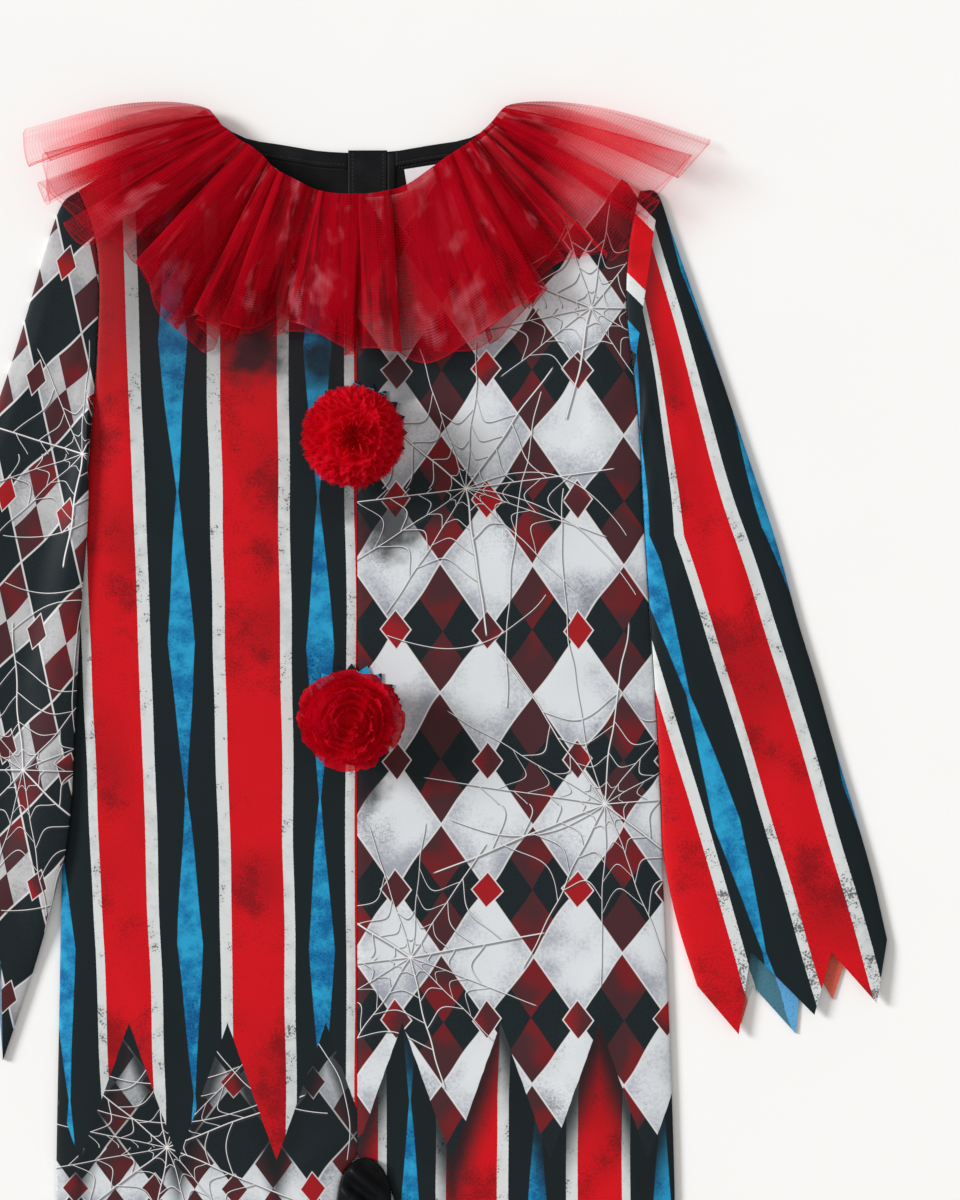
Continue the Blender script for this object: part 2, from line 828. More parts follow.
@dataclass(frozen=True)
class BodyPrint(PolyesterKnit):
    """The print of one half of the front, which changes design below a dagged line.

    Attributes:
        line: Where the dags' roots lie.
        fan: How much the stripes spread towards the hem, each millimetre.
    """

    side: Side = Side.LEFT
    dag: float = 63
    depth: float = 88
    line: float = -12
    fan: float = 0.000255
    webs: tuple[Web | Strand, ...] = ()
    smudges: tuple[Smudge, ...] = ()

    def make(self) -> Material:
        """Draws both designs and the dagged line between them.

        Returns:
            The material.
        """
        graph = self.start()
        x, y = graph.place()
        right = self.side is Side.RIGHT
        widen = (graph.calc("MAXIMUM", y, -60) - 257) * self.fan + 1
        start = 177.8 if right else 190.5
        across = graph.calc("SUBTRACT", start, x.size() / widen)
        stripes = StripePrint().colour(graph, across, y)
        if right:
            design = HarlequinPrint(50.6, 68, dark=True, webs=self.webs)
            middle_x, middle_y = -28.2, -84.4
        else:
            design = HarlequinPrint(webs=self.webs)
            middle_x, middle_y = 141.4, 281
        lozenges = design.colour(graph, (x - middle_x) / design.width, (y - middle_y) / design.height)

        lean = (graph.grain(graph.joined(x, y), 9, 2) - 0.5) * 3
        share = graph.calc("FRACT", (x + (20 if right else 34)) / self.dag)
        tooth = (share - 0.5).size() * 2
        edge = tooth.invert() * -self.depth + self.line
        drop = y - edge + lean
        above = drop.soft(-0.5, 0.5)
        shade = (0.0085, 0.0125, 0.015)
        if right:
            fade = graph.calc("MAXIMUM", drop.soft(-50, -8) * 0.95, y.soft(-124, -72) * 0.42)
            lower = design.webbed(graph, graph.darken(lozenges, fade, shade), x, y)
            upper = graph.darken(stripes, y.soft(345, 455) * 0.5, (0.022, 0.01, 0.012))
        else:
            upper = lozenges
            lower = graph.darken(stripes, drop.soft(-62, -4) * 0.95, shade)
        for smudge in self.smudges:
            upper = graph.darken(upper, smudge.read(graph, x, y), (0.009, 0.011, 0.014))
        if not right:
            upper = design.webbed(graph, upper, x, y)
        return graph.done(graph.blend(above, lower, upper))


@dataclass(frozen=True)
class SleevePrint(PolyesterKnit):
    """The print of one sleeve, which leans with the sleeve.

    Attributes:
        offset: How far the stripes are moved across and along.
        skew: The leaning grid of the lozenges.
    """

    design: Print = Print.STRIPES
    lean: Lean = Lean()
    offset: Pair = (0, 0)
    skew: Skew = Skew(0, 0, (1, 0), (0, 1))
    webs: tuple[Web | Strand, ...] = ()

    def make(self) -> Material:
        """Draws the design along the sleeve.

        Returns:
            The material.
        """
        graph = self.start()
        x, y = graph.place()
        if self.design is Print.HARLEQUIN:
            design = HarlequinPrint(41.4, 76, dark=True, dim=True, webs=self.webs)
            lozenges = design.colour(graph, *self.skew.read(x, y))
            return graph.done(design.webbed(graph, lozenges, x, y))
        across, along = self.lean.read(graph)
        across, along = across + self.offset[0], along + self.offset[1]
        bulge = y.soft(450, 340) * y.soft(200, 340) * 3.2
        off = across + bulge - 36.2
        squeeze = graph.calc("MAXIMUM", y - 300, 0) * 0.0078
        inner = graph.calc("MINIMUM", off, 0) * (squeeze + 1)
        outer = graph.calc("MAXIMUM", off, 0) * (squeeze * 0.35 + 1)
        beyond = x - (y - 498.6) * 0.144 - 190.7
        tuck = beyond.below(0) * y.soft(404, 406)
        turned = ((x - 172.8) + (y - 469.1)) * -0.71
        place = (inner + outer) * tuck.invert() + turned * tuck
        worn = y.soft(130, 12) * 0.13
        base = StripePrint(chain=172, neck=1).colour(graph, place + 36.2, along, worn)
        crease = beyond.soft(15, 0) * beyond.below(0).invert() * y.soft(370, 420) * 0.62
        return graph.done(graph.darken(base, crease, (0.01, 0.008, 0.01)))


@dataclass(frozen=True)
class ReverseCloth(PolyesterKnit):
    """The inner face of a printed cloth, where the print shows through pale."""

    design: Print = Print.STRIPES
    lean: Lean = Lean()
    offset: Pair = (0, 0)

    def make(self) -> Material:
        """Draws pale bands in the print's hues.

        Returns:
            The material.
        """
        graph = self.start()
        across, along = self.lean.read(graph)
        across = across + self.offset[0]
        where = graph.joined(across, along)
        cloud = graph.grain(where, 12, 3)
        if self.design is Print.STRIPES:
            start = graph.calc("FRACT", (across + (cloud - 0.5) * 3) / REPEAT)
            steel, sky, salmon = (0.066, 0.185, 0.255), (0.114, 0.376, 0.679), (0.72, 0.13, 0.09)
            edges = (0, 6, 36, 44, 64, 73, 85, 93, 128, 135, 150, 160)
            bands = (WHITE, salmon, WHITE, steel, sky, steel, WHITE, salmon, WHITE, steel, sky, steel)
            base = graph.ramp(start, [(edge / REPEAT, band) for edge, band in zip(edges, bands)])
        else:
            base = graph.blend(cloud.soft(0.4, 0.6), (0.114, 0.32, 0.52), (0.35, 0.36, 0.4))
        return graph.done(graph.darken(base, graph.grain(where, 1.4, 2).soft(0.45, 0.7) * 0.25))


@dataclass(frozen=True)
class BlackKnit(PolyesterKnit):
    """Plain black cloth: the back, the facing, the placket and the cloth between the legs."""

    shine: float = 0.08
    colour: Colour = (0.0045, 0.0048, 0.0055)

    def make(self) -> Material:
        """Dresses the knit in black, a little uneven.

        Returns:
            The material.
        """
        graph = self.start()
        worn = graph.grain(None, 18, 3).soft(0.4, 0.7)
        lint = graph.grain(None, 0.9, 2, 0.7).soft(0.62, 0.74)
        base = graph.blend(worn, self.colour, tuple(part * 1.7 for part in self.colour))
        return graph.done(graph.blend(lint * 0.1, base, (0.1, 0.1, 0.11)))


@dataclass(frozen=True)
class DiscPrint(PolyesterKnit):
    """Scraps of the striped print, cut into the pinked discs."""

    slope: float = 0.5
    blue: float = 0.45

    def make(self) -> Material:
        """Draws blue and black bands.

        Returns:
            The material.
        """
        graph = self.start()
        across, along = Lean(0, 0, self.slope).read(graph)
        where = graph.joined(across, along)
        step = graph.calc("FRACT", (across + (graph.grain(where, 9, 1) - 0.5) * 6) / 27)
        base = graph.ramp(step, [(0, INK), (0.95 - self.blue, BLUE), (0.95, INK)])
        specks = graph.grain(where, 3, 3).soft(0.5, 0.7) * 0.5
        return graph.done(graph.darken(base, specks, (0.004, 0.02, 0.05)))


@dataclass(frozen=True)
class LabelTape:
    """White woven satin tape."""

    name: str = "label_tape"

    def make(self) -> Material:
        """Draws the tape's fine weave.

        Returns:
            The material.
        """
        graph = Graph(self.name, 0.5)
        x, y = graph.place()
        weft = graph.wave(y * 0.988 - x * 0.156, 0.42)
        warp = graph.wave(x * 0.988 + y * 0.156, 0.6)
        graph.relief(weft * 0.7 + warp * 0.3, 0.3, 0.0001)
        cloud = graph.grain(None, 7, 2)
        base = graph.blend(cloud.soft(0.35, 0.65), (0.83, 0.84, 0.87), (0.78, 0.79, 0.83))
        return graph.done(graph.darken(base, weft * 0.06))


@dataclass(frozen=True)
class Thread:
    """Twisted polyester sewing thread."""

    name: str
    colour: Colour

    def make(self) -> Material:
        """Draws the twist.

        Returns:
            The material.
        """
        graph = Graph(self.name, 0.5)
        x, y = graph.place()
        twist = graph.wave(x + y, 0.45)
        graph.relief(twist, 0.4, 0.0001)
        return graph.done(graph.blend(twist, self.colour, tuple(part * 1.8 for part in self.colour)))


@dataclass(frozen=True)
class RedNet:
    """Fine stiff net, seen through where it is single and deep red where it is folded.

    Attributes:
        cover: How much of a single layer is thread.
        fold_cover: How much more a steep fold covers.
        hem_cover: How much more the cut edge covers.
        dark: Colour in the hollows of the cloth.
        through: Colour of the light that passes through its threads.
        bright: Colour of its flat ends, where the net lies single.
        glow: How much of the light passes through them.
        middle: Where the ends are measured from.
        thin: How much less the flat ends cover, past the shoulders.
        gloss: How strongly raised patches catch the light.
        streaks: How strongly its small creases, which run out from the neck, show.
        fringe: How strongly its cut edge catches the light.
        hollow: How dark it is between pleats.
        sheer: How much less it covers towards its cut edge.
    """

    name: str
    cover: float = 0.68
    row: float = 1.55
    fold_cover: float = 0.3
    depth: float = 100
    hem: float = 1.6
    hem_cover: float = 0.22
    light: Colour = (0.55, 0.0005, 0.013)
    dark: Colour = (0.11, 0, 0.003)
    through: Colour = (0.86, 0.004, 0.03)
    bright: Colour = (0.95, 0.012, 0.036)
    glow: float = 0.34
    middle: float = -13
    thin: float = 0.36
    gloss: float = 0.85
    streaks: float = 0.45
    fringe: float = 0.15
    pleat: float = 64.7
    hollow: float = 0
    sheer: float = 0

    def make(self) -> Material:
        """Draws the net's rows, with more cover on steep folds.

        Returns:
            The material.
        """
        graph = Graph(self.name, 0.7, 0.06)
        along, out = graph.along()
        where = graph.joined(along, out)
        streak = graph.grain(graph.joined(along, out * 0.06), 7, 3, 0.65)
        wander = (graph.grain(where, 16, 2) - 0.5) * 3
        mesh = graph.wave(out + wander, self.row) * 0.75 + graph.wave(along, 1.7) * 0.25
        steep = graph.parts("NewGeometry", "Normal")[2].size().soft(0.92, 0.35)
        cloud = graph.grain(where, 24, 3) - 0.5
        x, _ = graph.place()
        end = (x - self.middle).size().soft(126, 168)
        single = end * self.thin
        cut = out.soft(self.depth - self.hem, self.depth - self.hem * 0.35) * self.hem_cover
        cover = steep * self.fold_cover + mesh * 0.17 + cloud * 0.24 + cut - single + (self.cover - 0.06)
        open_hem = out.soft(self.depth * 0.66, self.depth * 0.96) * self.sheer
        cover = cover + (streak - 0.5) * self.streaks - open_hem
        graph.relief(mesh, 0.35, 0.0002)
        tone = cloud * 0.4 + mesh.invert() * 0.14 + steep * 0.35
        tone = tone + (streak - 0.5) * 4.4 * self.streaks + 0.36
        crest = (graph.calc("FRACT", along / self.pleat) - 0.5).size() * 2
        uneven = graph.grain(graph.joined(along, out * 0.15), 34, 2)
        hollow = (crest + (uneven - 0.5) * 1.1).soft(0.5, 1.02) * self.hollow
        colour = graph.blend((tone.soft(0.3, 0.85) + hollow).soft(0, 1), self.light, self.dark)
        glint = graph.grain(graph.joined(along, out * 0.42), 22, 3, 0.62).soft(0.56, 0.71) * self.gloss
        colour = graph.blend(glint * (mesh * 0.4 + 0.7), colour, (0.86, 0.17, 0.23))
        colour = graph.blend(end * 0.85, colour, self.bright)
        fringe = out.soft(self.depth - self.hem * 1.6, self.depth) * self.fringe
        colour = graph.blend(fringe, colour, (0.9, 0.035, 0.075))
        behind = graph.node("BsdfTranslucent", {"Color": self.through})
        thread = graph.node("MixShader", {0: self.glow, 1: graph.shader.outputs[0], 2: behind.outputs[0]})
        gap = graph.node("BsdfTransparent", {"Color": (1, 0.9, 0.91)})
        share = graph.calc("MINIMUM", cover, 1)
        net = graph.node("MixShader", {0: share, 1: gap.outputs[0], 2: thread.outputs[0]})
        output = next(node for node in graph.tree.nodes if node.type == "OUTPUT_MATERIAL")
        graph.put(output.inputs["Surface"], net.outputs[0])
        return graph.done(colour)


@dataclass(frozen=True)
class PaleFloor:
    """A matt off-white surface."""

    name: str = "pale_floor"

    def make(self) -> Material:
        """Draws the faintest unevenness.

        Returns:
            The material.
        """
        graph = Graph(self.name, 0.9, 0.1)
        cloud = graph.grain(None, 90, 2)
        shade = cloud.soft(0.3, 0.7)
        return graph.done(graph.blend(shade, (0.935, 0.9345, 0.9355), (0.928, 0.9275, 0.9285)))


# Meshes ---------------------------------------------------


def finished(name: str, bm: BMesh, materials: Sequence[Material]) -> Object:
    """Turns a bmesh in millimetres into a smooth object in metres.

    Args:
        name: The object's name.
        bm: The mesh, which is freed.
        materials: Its materials in order.

    Returns:
        The object, at the origin.
    """
    bmesh.ops.scale(bm, vec=(MM, MM, MM), verts=bm.verts[:])
    mesh = bpy.data.meshes.new(name)
    bm.to_mesh(mesh)
    bm.free()
    mesh.shade_smooth()
    mesh.set_sharp_from_angle(angle=math.radians(50))
    for material in materials:
        mesh.materials.append(material)
    obj = bpy.data.objects.new(name, mesh)
    bpy.context.collection.objects.link(obj)
    return obj


def declared(piece: Object, slot: str, node: str = "", **cloth: object) -> Object:
    """Says what a finished piece is: its body, its CAD node, its slot and its cut.

    Args:
        piece: The piece.
        slot: The record's material slot.
        node: The CAD node that it stands for, if it stands for one.

    Returns:
        The piece.
    """
    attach(piece, "root")
    if node:
        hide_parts(node)
    return piece


def shares(count: int) -> list[float]:
    """Gives even shares from 0 to 1."""
    return [i / count for i in range(count + 1)]


def laid_grid(
    columns: Sequence[float],
    rows: Sequence[float],
    place: Callable[[float, float], Point],
    spread: Pair | None = None,
) -> BMesh:
    """Lays a grid out by a function of its column and row.

    Args:
        columns: The values across.
        rows: The values along.
        place: Gives the point for a column and a row.
        spread: Millimetres of cloth for one unit of column and of row, to keep as a UV map.

    Returns:
        The mesh, open all round.
    """
    bm = bmesh.new()
    across, along = len(columns) - 1, len(rows) - 1
    bmesh.ops.create_grid(bm, x_segments=across, y_segments=along, size=0.5)
    key = bm.verts.layers.float_vector.new("key")
    for vert in bm.verts:
        column = columns[round((vert.co.x + 0.5) * across)]
        row = rows[round((vert.co.y + 0.5) * along)]
        vert[key] = (column, row, 0)
        vert.co = place(column, row)
    if spread:
        cloth = bm.loops.layers.uv.new("cloth")
        for face in bm.faces:
            for loop in face.loops:
                column, row, _ = loop.vert[key]
                loop[cloth].uv = (column * spread[0] * MM, row * spread[1] * MM)
    return bm


def moved(made: dict[str, list]) -> list[BMVert]:
    """Gives the vertices that an extrusion made."""
    return [part for part in made["geom"] if isinstance(part, BMVert)]


def walled(bm: BMesh, wall: float, side: Side = Side.LEFT) -> list[BMVert]:
    """Gives an open sheet a wall of even upright thickness below it.

    Args:
        bm: The sheet, whose X grows towards its side.
        wall: The wall's thickness.
        side: The side, which turns the sheet's faces up.

    Returns:
        The vertices of the underside.
    """
    if side is Side.RIGHT:
        bmesh.ops.reverse_faces(bm, faces=bm.faces[:])
    under = moved(bmesh.ops.extrude_face_region(bm, geom=bm.faces[:]))
    bmesh.ops.translate(bm, vec=(0, 0, -wall), verts=under)
    bmesh.ops.recalc_face_normals(bm, faces=bm.faces[:])
    return under


def edge_shares(width: float, step: float) -> list[float]:
    """Gives shares from 0 to 1 that lie close together at both ends.

    Args:
        width: The width that they share out.
        step: How far apart they lie in the middle.

    Returns:
        The shares.
    """
    near = [0, 0.4, 1.2, 2.6, 4.6, 7.2, 10.4, 14, 18]
    count = max(int((width - 2 * near[-1]) / step), 2)
    middle = [near[-1] + (width - 2 * near[-1]) * i / count for i in range(1, count)]
    places = near + middle + [width - value for value in reversed(near)]
    return [value / width for value in places]


# Body -----------------------------------------------------


def side_x(side: Side, y: float) -> float:
    """Gives the distance of the body's edge from the centre."""
    return reading(SIDE, y, 1 if side is Side.LEFT else 2)


def inner_x(side: Side, y: float) -> float:
    """Gives the distance of a half's inner edge from the centre."""
    return SEAM / 2 if y >= CROTCH_Y else reading(INSEAM, y, 1 if side is Side.LEFT else 2)


def top_y(side: Side, x: float, panel: Panel) -> float:
    """Gives the upper edge of a half.

    Args:
        side: Which half.
        x: Distance from the centre.
        panel: Front or back.

    Returns:
        The y of the neckline, and of the shoulder beyond it.
    """
    if x <= NECK_HALF_WIDTH:
        return reading(NECKLINE, x, panel.value)
    share = (x - NECK_HALF_WIDTH) / (side_x(side, SHOULDER_TIP_Y) - NECK_HALF_WIDTH)
    neck_point = NECKLINE[-1][panel.value]
    return neck_point + (SHOULDER_TIP_Y - neck_point) * share


@dataclass
class Body:
    """The front and the back, each in two halves from shoulder to ankle.

    Attributes:
        puff: How far the front stands clear of the back.
        edge_round: Width of the rounded edge along seams.
        neck_lift: How far the front is raised under the ruff.
        neck_lift_reach: How far down from the neckline.
        neck_lift_end: Where that starts to fade towards the shoulders.
        neck_lift_fade: Width over which it fades.
        steps: Size of the mesh across and along, of the front and of the back.
    """

    puff: float = 2.2
    edge_round: float = 22
    neck_lift: float = 1.8
    neck_lift_reach: float = 50
    neck_lift_end: float = 86
    neck_lift_fade: float = 12
    steps: tuple[Pair, Pair] = ((4.2, 4.2), (9, 8))
    hem_y: float = -578

    def place(self, side: Side, column: float, row: float, panel: Panel) -> Pair:
        """Places a grid point of a half.

        Args:
            side: Which half.
            column: Share of the way from the inner edge to the side seam.
            row: Its height along the side seam.
            panel: Front or back.

        Returns:
            Its distance from the centre and its height.
        """
        if row <= UNDERARM_Y:
            low, high = inner_x(side, row), side_x(side, row)
            return low + (high - low) * column, row
        share = (row - UNDERARM_Y) / (SHOULDER_TIP_Y - UNDERARM_Y)
        x = SEAM / 2 + (side_x(side, row) - SEAM / 2) * column
        tip_share = x / side_x(side, row)
        top = top_y(side, tip_share * side_x(side, SHOULDER_TIP_Y), panel)
        return x, UNDERARM_Y + (top - UNDERARM_Y) * share

    def front_height(self, side: Side, x: float, y: float) -> float:
        """Gives the height of the front's upper face.

        Args:
            side: Which half.
            x: Distance from the centre.
            y: Place along.

        Returns:
            The height.
        """
        edges = rounded(side_x(side, y) - x, self.edge_round)
        edges *= rounded(x - inner_x(side, y) + max(y - CROTCH_Y, 0), self.edge_round)
        below_top = top_y(side, x, Panel.FRONT) - y
        edges *= rounded(below_top, self.edge_round)
        sideways = side.value * x
        folds = sum(ridge(fold, sideways, y) for fold in FRONT_FOLDS)
        folds += 0.35 * ripple(sideways, y, 60) + 0.1 * ripple(sideways, y, 17, 5)
        neck = 1 - ease((x - self.neck_lift_end) / self.neck_lift_fade)
        neck *= 1 - ease(below_top / self.neck_lift_reach)
        seam = -0.55 * math.exp(-((x / 2.6) ** 2)) if y > CROTCH_Y else 0
        return 2 * WALL + SEAM + edges * (self.puff + folds + seam) + self.neck_lift * neck

    def back_height(self, side: Side, x: float, y: float) -> float:
        """Gives the height of the back's upper face, which waves a little at the neck."""
        near_neck = ease((y - 480) / 30) * rounded(side_x(side, min(y, SHOULDER_TIP_Y)) - x, 20)
        return WALL + 0.12 * near_neck * ripple(x, y, 14)

    def half(self, name: str, side: Side, panel: Panel, material: Material) -> Object:
        """Builds one half of the front, or of the back flat on the floor.

        Args:
            name: The CAD node that it stands for.
            side: Which half.
            panel: Front or back.
            material: Its cloth.

        Returns:
            The object.
        """
        height = self.front_height if panel is Panel.FRONT else self.back_height
        across, along = self.steps[panel.value - 1]

        def top(column: float, row: float) -> Point:
            """Places a point of the upper face.

            Args:
                column: Share of the way to the side seam.
                row: Its height along the side seam.

            Returns:
                The point.
            """
            x, y = self.place(side, column, row, panel)
            return side.value * x, y, height(side, x, y)

        length = SHOULDER_TIP_Y - self.hem_y
        rows = [self.hem_y + share * length for share in edge_shares(length, along)]
        bm = laid_grid(edge_shares(185, across), rows, top)
        under = walled(bm, WALL, side)
        if panel is Panel.BACK:
            for vert in under:
                vert.co.z = 0
        return finished(name + "_cloth", bm, [material])

    def build(self) -> list[Object]:
        """Returns:
            The halves.
        """
        left = BodyPrint("harlequin_cloth_body", side=Side.LEFT, webs=TORSO_WEBS, smudges=SMUDGES).make()
        right = BodyPrint("striped_cloth_body", side=Side.RIGHT, webs=LEG_WEBS, smudges=SCORCHES).make()
        black = BlackKnit("black_cloth_back").make()
        cut = {"flat": (0.204, 1.151), "held": "laid"}
        front = {**cut, "rests_on": BACK_NODES, "area": 0.2}
        back = {**cut, "area": 0.204}
        made = []
        for name, side, panel, material, slot, cloth in (
            ("front_left", Side.LEFT, Panel.FRONT, left, "harlequin_cloth", front),
            ("front_right", Side.RIGHT, Panel.FRONT, right, "striped_cloth", front),
            ("back_left", Side.LEFT, Panel.BACK, black, "black_cloth", back),
            ("back_right", Side.RIGHT, Panel.BACK, black, "black_cloth", back),
        ):
            made.append(declared(self.half(name, side, panel, material), slot, name, **cloth))
        return made


# Sleeves --------------------------------------------------

ARMHOLE_SHARES = (0.02, 0.08, 0.17, 0.28, 0.4, 0.52, 0.64, 0.75, 0.85, 0.93, 0.98)
# Shares of the width at which the tube's lines reach the hem, from the inner fold.
FRONT_HEM_SHARES = (0.015, 0.06, 0.1675, 0.3, 0.43, 0.566, 0.706, 0.8, 0.891, 0.955, 0.985)
BACK_HEM_SHARES = (0.015, 0.06, 0.19, 0.28, 0.4576, 0.57, 0.675, 0.75, 0.82, 0.93, 0.985)

# Dags of the hems: share of the width from the inner fold, length below the hem.
LEFT_FRONT_DAGS: Table = (
    (0, 18), (0.1675, 52), (0.3, 1), (0.566, 46.6), (0.706, 9), (0.891, 45), (1, 6),
)
LEFT_BACK_DAGS: Table = (
    (0, 18), (0.06, 10), (0.19, 46), (0.28, 23), (0.4576, 57), (0.57, 4), (0.675, 39), (0.82, 3),
    (0.93, 28), (1, 6),
)
RIGHT_FRONT_DAGS: Table = (
    (0, 66), (0.1675, 5), (0.3, 48), (0.43, 5), (0.566, 46), (0.706, 7), (0.891, 38), (1, 2.8),
)
RIGHT_BACK_DAGS: Table = (
    (0, 66), (0.19, 8), (0.28, 40), (0.4576, 5), (0.57, 44), (0.675, 5), (0.82, 36), (0.93, 4), (1, 2.8),
)

# Sleeves from the armhole to the hem: share of the length, distance of the inner fold
# outside the body's edge, y of the inner fold, x and y of the outer fold.
LEFT_SLEEVE: Table = (
    (0, 0.5, 360, 181.5, 521), (0.055, 0.5, 346, 192.5, 519), (0.11, 0.5, 332, 202, 493),
    (0.2, 0.5, 307, 225.5, 425), (0.3, 0.5, 275, 249, 355), (0.4, 0.5, 240, 268.5, 296),
    (0.5, 0.5, 203, 282.5, 245), (0.6, 0.5, 166, 294.5, 206), (0.7, 0.5, 130, 306, 165),
    (0.8, 0.8, 96, 318, 125), (0.9, 6.5, 62, 329.5, 86), (1, 16.5, 29.4, 338.6, 47.4),
)
RIGHT_SLEEVE: Table = (
    (0, 0.5, 360, 179, 521), (0.055, 0.6, 346, 189.5, 512), (0.11, -2, 332, 199, 486),
    (0.2, -4.5, 307, 218.5, 420), (0.3, -5, 275, 243, 350), (0.4, -5, 240, 264, 292),
    (0.5, -5, 203, 280, 243), (0.6, -4.5, 166, 293, 204), (0.7, -4.5, 130, 305, 163),
    (0.8, -2, 96, 317, 123), (0.9, 3.5, 62, 329, 85), (1, 13, 29.4, 338.6, 46),
)

# Soft folds of a sleeve: start share across, start share along, end share across, end
# share along, height, half width.
SLEEVE_FOLDS: Table = (
    (0.12, 0.16, 0.55, 0.3, 1, 12), (0.2, 0.34, 0.72, 0.42, 0.9, 11), (0.8, 0.2, 0.62, 0.5, 0.8, 12),
    (0.25, 0.55, 0.45, 0.85, 0.9, 12), (0.75, 0.6, 0.66, 0.92, 0.8, 11),
    (0.05, 0.06, 0.4, 0.12, 0.7, 7), (0.3, 0.1, 0.36, 0.26, 0.6, 7), (0.55, 0.08, 0.6, 0.24, 0.6, 8),
    (0.88, 0.14, 0.84, 0.36, 0.5, 6), (0.15, 0.44, 0.3, 0.54, 0.6, 7), (0.5, 0.6, 0.48, 0.92, 0.5, 7),
    (0.9, 0.7, 0.88, 0.96, 0.5, 6),
)


